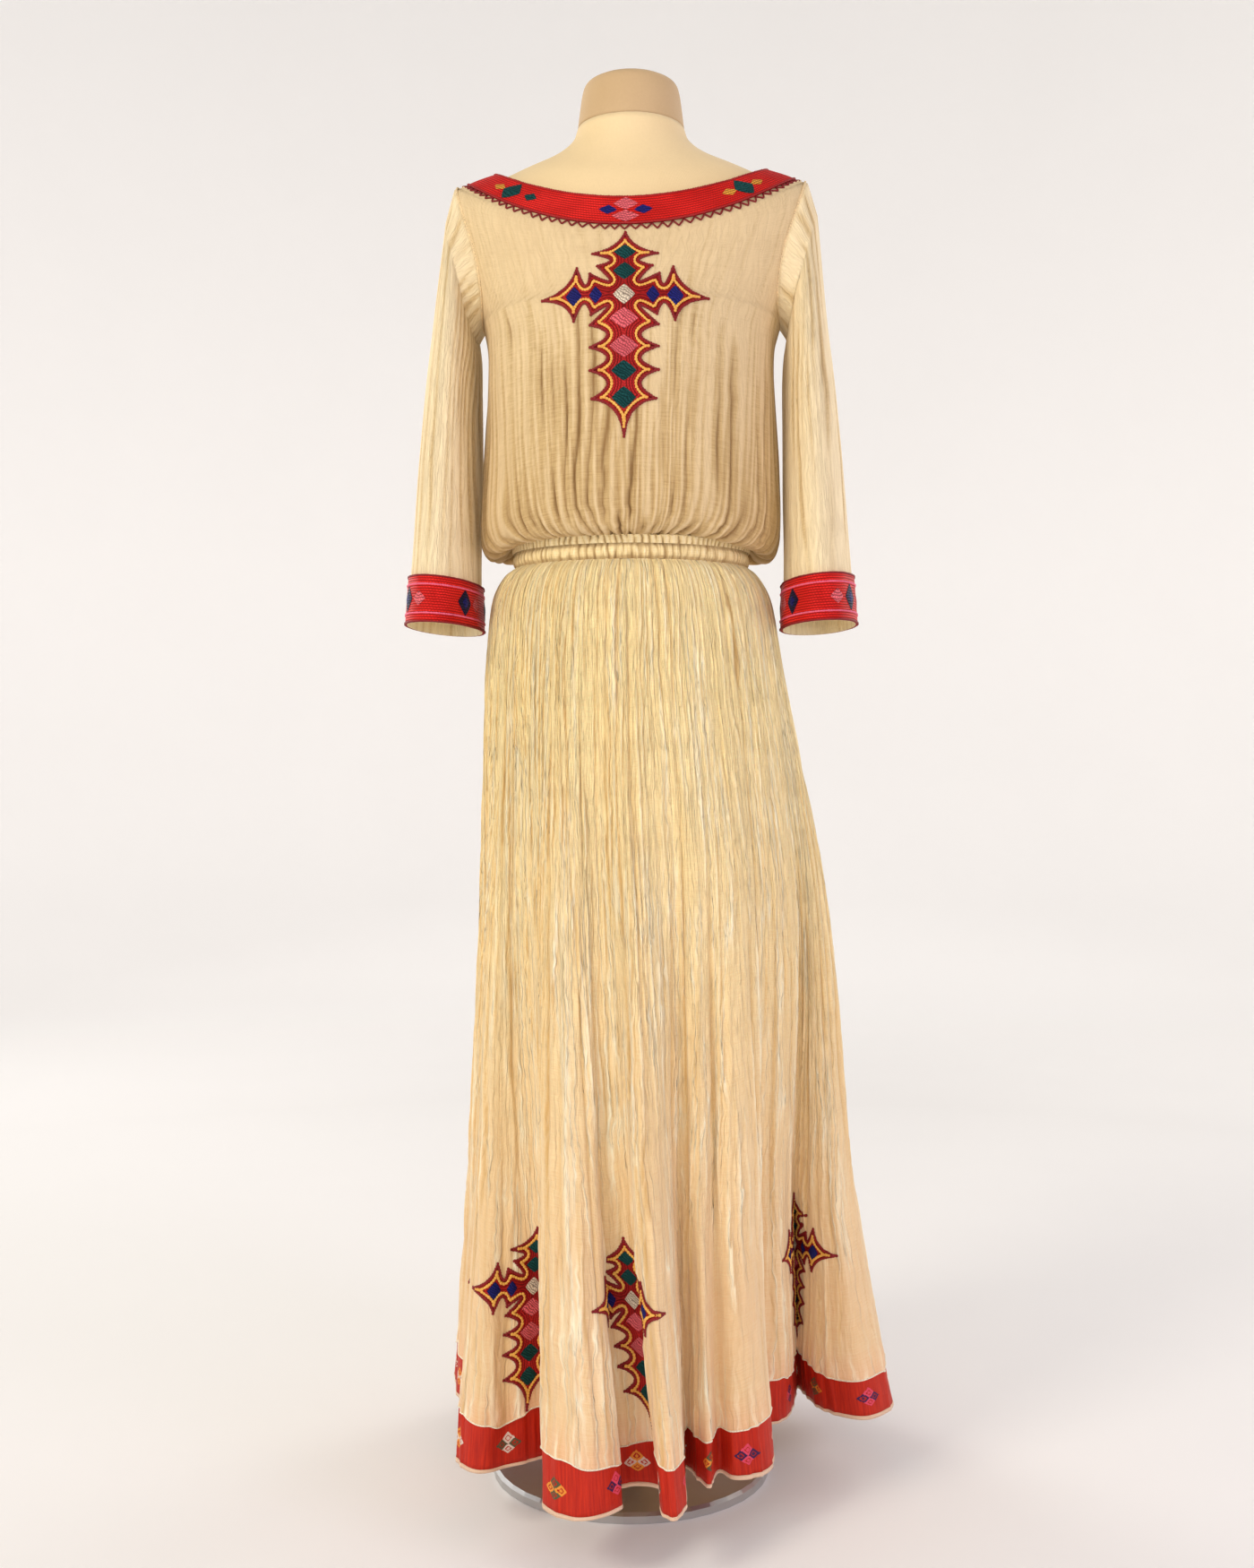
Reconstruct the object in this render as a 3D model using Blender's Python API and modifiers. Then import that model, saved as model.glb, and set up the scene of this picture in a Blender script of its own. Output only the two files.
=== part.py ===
"""A habesha kemis: a long, gathered cotton-gauze dress with red bands, worn by a limbless dress form.

Metres, +Z up. The origin is on the floor under the form's pole, and the front of the dress faces -Y.
Angles around the body start at the front centre and grow towards +X.
Every piece of cloth is an open grid, computed from the tables below and given its wall by Solidify.
"""

import math
from collections import namedtuple

import bmesh
import bpy
import numpy as np

# Cloth
WALL = 0.0016           # thickness of the cloth walls
BAND_WALL = 0.0014      # thickness of a band that lies on the cloth
SEAM_GAP = 0.0003       # free space between pieces at a seam
LAP_GAP = 0.0011        # between the sleeve head and the armhole
BAND_GAP = 0.0007       # between the neck band and the bodice
FIT_GAP = 0.0028        # between the form and the cloth that it carries
NECK_BAND_WIDTH = 0.031
CUFF_WIDTH = 0.048
HEM_Z = 0.060           # lower edge of the skirt
HEM_BAND_WIDTH = 0.055
CASING_LOW = 0.9142     # the elastic casing round the waist
CASING_HIGH = 0.9284
CASING_WALL = 0.0022
CASING_INSET = 0.0016   # the casing lies this much inside the edges that it joins

# Armhole, an ellipse in the bodice's own rows and angles
ARMHOLE_LOW_ROW = 8.0
ARMHOLE_HIGH_ROW = 10.4
ARMHOLE_FRONT_DEG = 64.0

# Stand and form
BASE_RADIUS = 0.140
BASE_THICK = 0.010
FLANGE_RADIUS = 0.032
FLANGE_HEIGHT = 0.022
POLE_RADIUS = 0.0125
BOARD_THICK = 0.012

# One row for each horizontal ring of the form and of the bodice: its height at the front, side and back,
# and its reach from the centre line to the side, front and back.
Ring = namedtuple("Ring", "front_z side_z back_z half_width front back")

BODICE_RINGS = [
    Ring(0.9290, 0.9290, 0.9290, 0.1190, 0.0960, 0.0925),  # gathered into the casing
    Ring(0.9375, 0.9385, 0.9375, 0.1205, 0.0985, 0.0950),  # top of the gathers
    Ring(0.9400, 0.9270, 0.9350, 0.1310, 0.1080, 0.1030),  # underside of the blousing
    Ring(0.9490, 0.9265, 0.9410, 0.1430, 0.1165, 0.1105),  # its lowest turn
    Ring(0.9720, 0.9480, 0.9640, 0.1500, 0.1235, 0.1150),  # its fullest
    Ring(1.0250, 1.0100, 1.0200, 0.1480, 0.1265, 0.1130),
    Ring(1.0850, 1.0800, 1.0850, 0.1455, 0.1290, 0.1090),
    Ring(1.1350, 1.1300, 1.1350, 0.1450, 0.1290, 0.1060),  # bust
    Ring(1.1650, 1.1600, 1.1700, 0.1500, 0.1235, 0.1040),  # underarm
    Ring(1.2000, 1.2170, 1.2150, 0.1660, 0.1125, 0.1000),
    Ring(1.2280, 1.2950, 1.2550, 0.1810, 0.1030, 0.0930),  # shoulder point
    Ring(1.2450, 1.3065, 1.2730, 0.1630, 0.0975, 0.0880),
    Ring(1.2630, 1.3150, 1.2900, 0.1380, 0.0930, 0.0830),  # neckline
]
NECKLINE_ROW = len(BODICE_RINGS) - 1
CARRYING_ROWS = (10.4, 10.8, 11.4, 12.0)  # here the bodice lies on the form's shoulders

FORM_BODY_RINGS = [
    Ring(0.6950, 0.6950, 0.6950, 0.1280, 0.0940, 0.0980),
    Ring(0.7350, 0.7350, 0.7350, 0.1360, 0.1010, 0.1080),
    Ring(0.7850, 0.7850, 0.7850, 0.1385, 0.1035, 0.1120),  # hip
    Ring(0.8500, 0.8500, 0.8500, 0.1340, 0.1000, 0.1060),
    Ring(0.8900, 0.8900, 0.8900, 0.1215, 0.0935, 0.0935),
    Ring(0.9100, 0.9100, 0.9100, 0.1167, 0.0937, 0.0902),  # waist
    Ring(0.9500, 0.9500, 0.9500, 0.1167, 0.0937, 0.0895),
    Ring(1.0200, 1.0200, 1.0200, 0.1240, 0.1010, 0.0920),
    Ring(1.0800, 1.0800, 1.0800, 0.1320, 0.1130, 0.0950),
    Ring(1.1350, 1.1300, 1.1350, 0.1345, 0.1190, 0.0945),  # bust
    Ring(1.1650, 1.1600, 1.1700, 0.1400, 0.1150, 0.0940),
    Ring(1.2000, 1.2130, 1.2150, 0.1550, 0.1050, 0.0910),
]
FORM_NECK_SLOPE_RINGS = [
    Ring(1.2900, 1.3250, 1.3120, 0.1050, 0.0810, 0.0760),
    Ring(1.3150, 1.3370, 1.3300, 0.0760, 0.0670, 0.0680),
    Ring(1.3390, 1.3490, 1.3470, 0.0600, 0.0575, 0.0600),
    Ring(1.3620, 1.3620, 1.3620, 0.0545, 0.0535, 0.0555),  # neck seam
]
FORM_NECK_RINGS = [
    Ring(1.3623, 1.3623, 1.3623, 0.0545, 0.0535, 0.0555),
    Ring(1.3820, 1.3820, 1.3820, 0.0520, 0.0510, 0.0530),
    Ring(1.3980, 1.3980, 1.3980, 0.0496, 0.0485, 0.0505),
    Ring(1.4065, 1.4065, 1.4065, 0.0462, 0.0450, 0.0470),
    Ring(1.4110, 1.4110, 1.4110, 0.0390, 0.0380, 0.0400),
]

# One row for each section of a sleeve: where its outer and inner lines are, and its reach to front and back.
SleeveRing = namedtuple("SleeveRing", "outer_x outer_z inner_x inner_z reach")

SLEEVE_RINGS = [
    SleeveRing(0.1870, 1.2700, 0.1600, 1.1480, 0.0530),
    SleeveRing(0.1915, 1.2220, 0.1575, 1.1270, 0.0620),
    SleeveRing(0.1975, 1.1600, 0.1570, 1.0950, 0.0700),
    SleeveRing(0.2045, 1.1000, 0.1570, 1.0600, 0.0740),
    SleeveRing(0.2120, 1.0200, 0.1570, 1.0000, 0.0770),
    SleeveRing(0.2195, 0.9400, 0.1570, 0.9310, 0.0790),
    SleeveRing(0.2265, 0.8560, 0.1560, 0.8520, 0.0810),
]

# One row for each level of the skirt without its folds: its height and its reach to each side.
Level = namedtuple("Level", "z left right front back")

SKIRT_LEVELS = [
    Level(0.9127, 0.1190, 0.1190, 0.0960, 0.0925),
    Level(0.9050, 0.1280, 0.1280, 0.1030, 0.1010),
    Level(0.8900, 0.1365, 0.1370, 0.1090, 0.1100),
    Level(0.8720, 0.1410, 0.1430, 0.1140, 0.1180),
    Level(0.8400, 0.1440, 0.1490, 0.1180, 0.1250),
    Level(0.7900, 0.1470, 0.1570, 0.1220, 0.1310),
    Level(0.7000, 0.1490, 0.1740, 0.1310, 0.1380),
    Level(0.5950, 0.1525, 0.1930, 0.1480, 0.1500),
    Level(0.4900, 0.1570, 0.2040, 0.1680, 0.1660),
    Level(0.3800, 0.1610, 0.2120, 0.1880, 0.1820),
    Level(0.2700, 0.1660, 0.2210, 0.2080, 0.1990),
    Level(0.1150, 0.1750, 0.2450, 0.2300, 0.2200),
    Level(0.0600, 0.1790, 0.2550, 0.2400, 0.2270),
]

# One row for each turn of the hem, in plan, from the left side seam over the front to the right side seam,
# and on over the back. A fold is a ridge between two hollows.
Turn = namedtuple("Turn", "kind x y")

FRONT_TURNS = [
    Turn("seam", -0.184, 0.058),
    Turn("ridge", -0.177, 0.022),
    Turn("hollow", -0.150, 0.004),
    Turn("hollow", -0.128, -0.045),
    Turn("hollow", -0.143, -0.098),
    Turn("ridge", -0.163, -0.140),
    Turn("ridge", -0.142, -0.171),
    Turn("hollow", -0.108, -0.152),
    Turn("hollow", -0.074, -0.132),
    Turn("hollow", -0.052, -0.160),
    Turn("ridge", -0.078, -0.240),
    Turn("ridge", -0.046, -0.272),
    Turn("ridge", -0.010, -0.250),
    Turn("hollow", -0.012, -0.208),
    Turn("hollow", 0.012, -0.199),
    Turn("hollow", 0.030, -0.212),
    Turn("ridge", 0.026, -0.250),
    Turn("ridge", 0.037, -0.272),
    Turn("ridge", 0.049, -0.240),
    Turn("hollow", 0.050, -0.160),
    Turn("ridge", 0.062, -0.186),
    Turn("ridge", 0.071, -0.203),
    Turn("hollow", 0.081, -0.170),
    Turn("ridge", 0.098, -0.186),
    Turn("ridge", 0.127, -0.168),
    Turn("ridge", 0.134, -0.120),
    Turn("hollow", 0.118, -0.060),
    Turn("ridge", 0.150, -0.043),
    Turn("hollow", 0.166, -0.002),
    Turn("hollow", 0.176, 0.052),
    Turn("ridge", 0.196, -0.010),
    Turn("ridge", 0.233, -0.037),
    Turn("ridge", 0.264, -0.008),
    Turn("seam", 0.268, 0.036),
]
BACK_TURNS = [
    Turn("seam", 0.268, 0.036),
    Turn("hollow", 0.232, 0.078),
    Turn("ridge", 0.250, 0.128),
    Turn("ridge", 0.222, 0.158),
    Turn("hollow", 0.168, 0.142),
    Turn("ridge", 0.168, 0.206),
    Turn("ridge", 0.128, 0.226),
    Turn("hollow", 0.092, 0.176),
    Turn("ridge", 0.062, 0.236),
    Turn("ridge", 0.018, 0.246),
    Turn("hollow", -0.008, 0.190),
    Turn("ridge", -0.046, 0.240),
    Turn("ridge", -0.082, 0.226),
    Turn("hollow", -0.086, 0.168),
    Turn("ridge", -0.132, 0.194),
    Turn("ridge", -0.160, 0.164),
    Turn("hollow", -0.140, 0.112),
    Turn("ridge", -0.188, 0.104),
    Turn("seam", -0.184, 0.058),
]
HEM_TURNED = math.radians(3)  # the hem has swung round by this much from the bodice
FOLDS_START_Z = 0.88    # the skirt hangs smooth above this
FOLD_GROWTH = 1.8

# Gathers into the casing. They are deepest near it and die out at the height given.
GATHER_DEPTH = 0.0026
BODICE_GATHERS = 10
BODICE_GATHERS_END_Z = 1.10
SKIRT_FRONT_GATHERS = 16
SKIRT_BACK_GATHERS = 10
SKIRT_GATHERS_END_Z = 0.40

# Where the walls are divided
SKIRT_FRONT_COLUMNS = 64
SKIRT_BACK_COLUMNS = 40
SKIRT_ROW_STOPS = (0.0, 1.3, 2.6, 4.2, 6.0, 7.5, 9.0, 10.2, 11.0)
BODICE_COLUMNS = 20
BODICE_ROW_STOPS = (0, 1, 2, 3, 4, 5.4, 7, 8, 8.6, 9.2, 9.8) + CARRYING_ROWS
SLEEVE_COLUMNS = 18
SLEEVE_ROW_STOPS = (0, 1, 2, 3, 4, 5.3)
CASING_COLUMNS = 20

# Colours, linear
CREAM = (0.78, 0.62, 0.36, 1.0)
RED = (0.46, 0.020, 0.012, 1.0)
WOVEN_RED = (0.44, 0.030, 0.012, 1.0)
JERSEY = (0.70, 0.53, 0.32, 1.0)
WOOD = (0.32, 0.19, 0.10, 1.0)
STEEL = (0.55, 0.55, 0.56, 1.0)


def clear_scene():
    for obj in list(bpy.data.objects):
        bpy.data.objects.remove(obj)


def material(name, colour, roughness, metallic=0.0):
    made = bpy.data.materials.get(name) or bpy.data.materials.new(name)
    made.use_nodes = True
    shader = made.node_tree.nodes["Principled BSDF"]
    shader.inputs["Base Color"].default_value = colour
    shader.inputs["Roughness"].default_value = roughness
    shader.inputs["Metallic"].default_value = metallic
    return made


def smooth_between(rows, t):
    """The table's columns at fractional row numbers t, on a smooth curve through the rows."""
    table = np.array(rows, float)
    last = len(table) - 1
    t = np.clip(np.asarray(t, float), 0, last)
    low = np.minimum(t.astype(int), last - 1)
    f = (t - low)[..., None]
    slope = np.gradient(table, axis=0)
    a, b, da, db = table[low], table[low + 1], slope[low], slope[low + 1]
    return (
        a * (1 + 2 * f) * (1 - f) ** 2
        + da * f * (1 - f) ** 2
        + b * f * f * (3 - 2 * f)
        - db * f * f * (1 - f)
    )


def ring_points(rows, t, angle):
    """Points of a body of rings at row numbers t and angles, both arrays of one shape."""
    column = np.moveaxis(smooth_between(rows, t), -1, 0)
    front_z, side_z, back_z, half_width, front, back = column
    s, c = np.sin(angle), np.cos(angle)
    bend = np.abs(c) ** 1.6
    x = half_width * s
    y = np.where(c > 0, -front * c, -back * c)
    z = side_z + np.where(c > 0, front_z - side_z, back_z - side_z) * bend
    return np.stack([x, y, z], axis=-1)


def gathered(points, share, count, end_z):
    """The points of a panel moved out into gathers across its width, shares 0 to 1, which start just off the casing."""
    z = points[..., 2]
    middle = (CASING_LOW + CASING_HIGH) / 2
    off_casing = np.clip((abs(z - middle) - 0.008) / 0.004, 0, 1)
    fade = np.clip((end_z - z) / (end_z - middle), 0, 1)
    depth = GATHER_DEPTH * off_casing * fade * (0.5 + 0.5 * np.cos(2 * math.pi * count * share))
    reach = np.linalg.norm(points[..., :2], axis=-1)
    moved = points.copy()
    moved[..., :2] *= (1 + depth / reach)[..., None]
    return moved


def normals_of(grid):
    """Unit normals of a grid of points, outwards where rows go up and columns go round from the front to +X."""
    along, up = np.gradient(grid, axis=1), np.gradient(grid, axis=0)
    n = np.cross(along, up)
    return n / np.linalg.norm(n, axis=-1, keepdims=True)


def grid_object(name, grid, made_of, closed=False, wall=WALL):
    """An open grid of points, closed round its columns if asked, with its wall grown outwards."""
    rows, columns = grid.shape[:2]
    mesh = bmesh.new()
    verts = [[mesh.verts.new(p) for p in row] for row in grid]
    for i in range(rows - 1):
        for j in range(columns if closed else columns - 1):
            k = (j + 1) % columns
            mesh.faces.new((verts[i][j], verts[i][k], verts[i + 1][k], verts[i + 1][j]))
    obj = finish_object(name, mesh, made_of)
    shell = obj.modifiers.new("wall", "SOLIDIFY")
    shell.thickness = wall
    shell.offset = 1.0
    return obj


def loft_object(name, grid, made_of):
    """A solid between rings, with a flat cap at each end."""
    mesh = bmesh.new()
    verts = [[mesh.verts.new(p) for p in row] for row in grid]
    columns = grid.shape[1]
    for low, high in zip(verts, verts[1:]):
        for j in range(columns):
            k = (j + 1) % columns
            mesh.faces.new((low[j], low[k], high[k], high[j]))
    mesh.faces.new(verts[0][::-1])
    mesh.faces.new(verts[-1])
    return finish_object(name, mesh, made_of)


def finish_object(name, mesh, made_of):
    data = bpy.data.meshes.new(name)
    mesh.to_mesh(data)
    mesh.free()
    data.materials.append(made_of)
    data.shade_smooth()
    obj = bpy.data.objects.new(name, data)
    bpy.data.collections["habesha_kemis"].objects.link(obj)
    return obj


def turned_object(name, profile, made_of, segments=40):
    """A solid of revolution about the pole, from (radius, z) points that run from the top down."""
    mesh = bmesh.new()
    verts = [mesh.verts.new((r, 0.0, z)) for r, z in profile]
    for a, b in zip(verts, verts[1:]):
        mesh.edges.new((a, b))
    obj = finish_object(name, mesh, made_of)
    screw = obj.modifiers.new("turn", "SCREW")
    screw.steps = screw.render_steps = segments
    screw.use_merge_vertices = True
    screw.merge_threshold = 0.00005
    return obj


# ---------------------------------------------------------------- bodice


def armhole_angle(t):
    """How far round from the front centre the bodice's front reaches at row t: 90 degrees at the side and
    shoulder seams, and less along the armhole."""
    middle = (ARMHOLE_LOW_ROW + ARMHOLE_HIGH_ROW) / 2
    half = (ARMHOLE_HIGH_ROW - ARMHOLE_LOW_ROW) / 2
    cut = np.sqrt(np.clip(1 - ((t - middle) / half) ** 2, 0, 1))
    return np.radians(90 - (90 - ARMHOLE_FRONT_DEG) * cut)


def bodice_grid(facing):
    """The front (facing 1) or back (facing -1) of the bodice, from the casing to the neckline."""
    t, share = np.meshgrid(
        BODICE_ROW_STOPS, np.linspace(-1, 1, BODICE_COLUMNS + 1), indexing="ij"
    )
    inset = SEAM_GAP / 2 / BODICE_RINGS[NECKLINE_ROW].back
    angle = share * (armhole_angle(t) - inset)
    if facing < 0:
        angle = angle + math.pi
    smooth = ring_points(BODICE_RINGS, t, angle)
    return gathered(smooth, (share + 1) / 2, BODICE_GATHERS, BODICE_GATHERS_END_Z)


def make_bodice(cloth):
    grid_object("bodice_front", bodice_grid(1), cloth)
    grid_object("bodice_back", bodice_grid(-1), cloth)


def row_below_neckline(angle, distance):
    """The bodice's row number that lies that distance below the neckline at an angle, measured on the cloth."""
    t = np.linspace(NECKLINE_ROW, NECKLINE_ROW - 4, 81)
    line = ring_points(BODICE_RINGS, t, np.full_like(t, angle))
    run = np.concatenate([[0], np.cumsum(np.linalg.norm(np.diff(line, axis=0), axis=1))])
    return float(np.interp(distance, run, t))


def make_neck_bands(braid):
    """Two strips that lie on the bodice along its neckline and meet at the shoulder seams."""
    inset = SEAM_GAP / 2 / BODICE_RINGS[NECKLINE_ROW].back
    for name, facing in (("neck_band_front", 0.0), ("neck_band_back", math.pi)):
        angles = facing + np.linspace(-math.pi / 2 + inset, math.pi / 2 - inset, BODICE_COLUMNS + 1)
        low = np.array([row_below_neckline(a, NECK_BAND_WIDTH) for a in angles])
        t = np.stack([low, (low + NECKLINE_ROW) / 2, np.full_like(low, NECKLINE_ROW)])
        grid = ring_points(BODICE_RINGS, t, np.broadcast_to(angles, t.shape))
        grid = grid + normals_of(grid) * (WALL + BAND_GAP)
        grid_object(name, grid, braid, wall=BAND_WALL)


# ---------------------------------------------------------------- sleeves


def armhole_loop(turn):
    """Points of the armhole for turns of 0 at the front, a quarter at the shoulder and a half at the back."""
    middle = (ARMHOLE_LOW_ROW + ARMHOLE_HIGH_ROW) / 2
    half = (ARMHOLE_HIGH_ROW - ARMHOLE_LOW_ROW) / 2
    t = middle + half * np.sin(turn)
    angle = np.radians(90 - (90 - ARMHOLE_FRONT_DEG) * np.cos(turn))
    step = 1e-4
    point = ring_points(BODICE_RINGS, t, angle)
    along = ring_points(BODICE_RINGS, t, angle + step) - point
    up = ring_points(BODICE_RINGS, t + step, angle) - point
    out = np.cross(along, up)
    out /= np.linalg.norm(out, axis=-1, keepdims=True)
    underarm = np.clip(-np.sin(turn), 0, 1)[..., None] ** 4  # there the sleeve's own wall turns to the body
    return point + out * (WALL * (1 + underarm) + LAP_GAP)


def sleeve_ring(t, turn):
    """Points of the +X sleeve below its head, at a fractional row of its table."""
    outer_x, outer_z, inner_x, inner_z, reach = np.moveaxis(
        smooth_between(SLEEVE_RINGS, t), -1, 0
    )
    middle_x, middle_z = (outer_x + inner_x) / 2, (outer_z + inner_z) / 2
    s, c = np.sin(turn), np.cos(turn)
    x = middle_x + (outer_x - middle_x) * s
    z = middle_z + (outer_z - middle_z) * s
    return np.stack([x, -reach * c, z], axis=-1)


def sleeve_grid(stops, columns=SLEEVE_COLUMNS):
    """The +X sleeve, rows from its end up to the armhole, at stops counted from the armhole (0) down."""
    turn = np.linspace(0, 2 * math.pi, columns, endpoint=False)
    rows = []
    for stop in sorted(stops, reverse=True):
        if stop >= 1:
            rows.append(sleeve_ring(np.full_like(turn, stop - 1), turn))
        else:
            head, first = armhole_loop(turn), sleeve_ring(np.zeros_like(turn), turn)
            rows.append(head + (first - head) * stop)
    return np.array(rows)


def mirrored(grid):
    """The same grid on the other side, with its columns turned so that its normals still point out."""
    return (grid * (-1, 1, 1))[:, ::-1]


def make_sleeves(cloth, braid):
    end = float(len(SLEEVE_RINGS))
    last_two = sleeve_grid((end - 1, end))
    spacing = np.linalg.norm(last_two[1] - last_two[0], axis=1).mean()
    cuff_top = end - CUFF_WIDTH / spacing
    sleeve = sleeve_grid(SLEEVE_ROW_STOPS + (cuff_top, end))
    cuff = sleeve_grid((cuff_top, end))
    around = np.concatenate([cuff[:, -1:], cuff, cuff[:, :1]], axis=1)
    cuff = cuff + normals_of(around)[:, 1:-1] * (WALL + SEAM_GAP)
    for side, place in (("left", np.array), ("right", mirrored)):
        grid_object(f"sleeve_{side}", place(sleeve), cloth, closed=True)
        grid_object(f"cuff_{side}", place(cuff), braid, closed=True, wall=BAND_WALL)


# ---------------------------------------------------------------- waist and skirt


def make_casing(cloth):
    """The elastic channel round the waist, in two halves that meet at the side seams."""
    waist = BODICE_RINGS[0]
    inset = SEAM_GAP / waist.front
    for name, facing in (("waist_casing_front", 0.0), ("waist_casing_back", math.pi)):
        angle = np.linspace(-math.pi / 2 + inset, math.pi / 2 - inset, CASING_COLUMNS + 1)
        reach = waist.back if facing else waist.front
        rows = [
            ring_points([Ring(z, z, z, waist.half_width - CASING_INSET, reach - CASING_INSET,
                              reach - CASING_INSET)] * 2, np.zeros_like(angle), angle + facing)
            for z in (CASING_LOW, CASING_HIGH)
        ]
        grid_object(name, np.array(rows), cloth, wall=CASING_WALL)


def hem_curve(turns, share):
    """The hem in plan at shares of the panel's width, evenly spaced along the cloth."""
    knots = np.array([(turn.x, turn.y) for turn in turns])
    fine = np.linspace(0, len(knots) - 1, 40 * len(knots))
    line = smooth_between(knots, fine)
    run = np.concatenate([[0], np.cumsum(np.linalg.norm(np.diff(line, axis=0), axis=1))])
    x, y = np.moveaxis(smooth_between(knots, np.interp(share * run[-1], run, fine)), -1, 0)
    c, s = math.cos(HEM_TURNED), math.sin(HEM_TURNED)
    return np.stack([x * c - y * s, x * s + y * c], axis=-1)


def skirt_level(t, angle):
    """The skirt with no folds, at a fractional level and an angle."""
    z, left, right, front, back = np.moveaxis(smooth_between(SKIRT_LEVELS, t), -1, 0)
    s, c = np.sin(angle), np.cos(angle)
    x = np.where(s > 0, right, left) * s
    y = -np.where(c > 0, front, back) * c
    return np.stack([x, y, z], axis=-1)


def skirt_points(turns, facing, t, share):
    """Points of a skirt panel at fractional levels and shares of its width, growing into the hem's folds."""
    angle = facing + (share - 0.5) * math.pi
    smooth = skirt_level(t, angle)
    hem = skirt_level(np.full_like(t, len(SKIRT_LEVELS) - 1), angle)[..., :2]
    fold = hem_curve(turns, share) - hem
    drop = np.clip((FOLDS_START_Z - smooth[..., 2]) / (FOLDS_START_Z - HEM_Z), 0, 1)
    smooth[..., :2] += fold * (drop ** FOLD_GROWTH)[..., None]
    return smooth


def make_skirt(cloth, woven):
    band_row = len(SKIRT_LEVELS) - 2
    last = len(SKIRT_LEVELS) - 1
    gap = SEAM_GAP / HEM_BAND_WIDTH
    halves = (
        ("front", FRONT_TURNS, 0.0, SKIRT_FRONT_COLUMNS, SKIRT_FRONT_GATHERS),
        ("back", BACK_TURNS, math.pi, SKIRT_BACK_COLUMNS, SKIRT_BACK_GATHERS),
    )
    for name, turns, facing, columns, gathers in halves:
        inset = SEAM_GAP / 2 / (2 * SKIRT_LEVELS[0].right)
        share = np.linspace(inset, 1 - inset, columns + 1)
        for piece, stops, made_of in (
            ("skirt", SKIRT_ROW_STOPS[::-1], cloth),
            ("hem_band", (last, band_row + gap), woven),
        ):
            t, s = np.meshgrid(stops, share, indexing="ij")
            smooth = skirt_points(turns, facing, t, s)
            grid = gathered(smooth, s, gathers, SKIRT_GATHERS_END_Z)
            grid_object(f"{piece}_{name}", grid, made_of)


# ---------------------------------------------------------------- form and stand


def inset_ring(ring, by):
    return Ring(
        ring.front_z - by, ring.side_z - by, ring.back_z - by,
        ring.half_width - by, ring.front - by, ring.back - by,
    )


def form_rings():
    """The torso's rings: just inside the bodice where they carry it, and its own shape elsewhere."""
    carried = [Ring(*row) for row in smooth_between(BODICE_RINGS, CARRYING_ROWS)]
    return FORM_BODY_RINGS + [inset_ring(ring, FIT_GAP) for ring in carried] + FORM_NECK_SLOPE_RINGS


def make_form(jersey, wood, steel):
    angle = np.linspace(0, 2 * math.pi, 2 * BODICE_COLUMNS, endpoint=False)
    for name, rows in (("form_torso", form_rings()), ("form_neck", FORM_NECK_RINGS)):
        t, a = np.meshgrid(np.arange(len(rows)), angle, indexing="ij")
        loft_object(name, ring_points(rows, t, a), jersey)
    low = FORM_BODY_RINGS[0]
    board = [(low.half_width - 0.010, low.front - 0.010, low.back - 0.010)] * 2
    board_z = (low.side_z - SEAM_GAP - BOARD_THICK, low.side_z - SEAM_GAP)
    rings = [Ring(z, z, z, *size) for z, size in zip(board_z, board)]
    t, a = np.meshgrid(np.arange(2), angle, indexing="ij")
    loft_object("form_board", ring_points(rings, t, a), wood)
    pole_top, pole_low = board_z[0] - SEAM_GAP, BASE_THICK + SEAM_GAP
    turned_object("stand_pole", [(0, pole_top), (POLE_RADIUS, pole_top), (POLE_RADIUS, pole_low), (0, pole_low)],
                  steel, 24)
    edge = 0.003
    turned_object(
        "stand_base",
        [(0, BASE_THICK), (BASE_RADIUS - edge, BASE_THICK), (BASE_RADIUS, BASE_THICK - edge),
         (BASE_RADIUS, 0), (0, 0)],
        steel,
    )
    inner = POLE_RADIUS + SEAM_GAP
    turned_object(
        "stand_flange",
        [(inner, pole_low + FLANGE_HEIGHT), (inner + 0.005, pole_low + FLANGE_HEIGHT),
         (FLANGE_RADIUS, pole_low + 0.004), (FLANGE_RADIUS, pole_low), (inner, pole_low),
         (inner, pole_low + FLANGE_HEIGHT)],
        steel, 24,
    )


def main():
    clear_scene()
    collection = bpy.data.collections.new("habesha_kemis")
    bpy.context.scene.collection.children.link(collection)
    cloth = material("cotton_gauze", CREAM, 0.9)
    braid = material("embroidered_band", RED, 0.7)
    woven = material("woven_band", WOVEN_RED, 0.7)
    jersey = material("form_jersey", JERSEY, 0.85)
    wood = material("form_wood", WOOD, 0.5)
    steel = material("stand_steel", STEEL, 0.35, 1.0)
    make_form(jersey, wood, steel)
    make_bodice(cloth)
    make_neck_bands(braid)
    make_sleeves(cloth, braid)
    make_casing(cloth)
    make_skirt(cloth, woven)


main()
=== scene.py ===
# %% [markdown]
# # A habesha kemis on a dress form
# The real dress is hand-woven cotton gauze: a loose bodice and wide sleeves, gathered by elastic at the
# waist into a long crinkled skirt. Red chain-stitched bands, crosses and a woven red hem are its only
# ornament. This lesson builds it piece by piece round a measured frame, so that every piece lands where the
# real one is. The frame comes first, because all later sizes are read from it or repeat its numbers.

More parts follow.
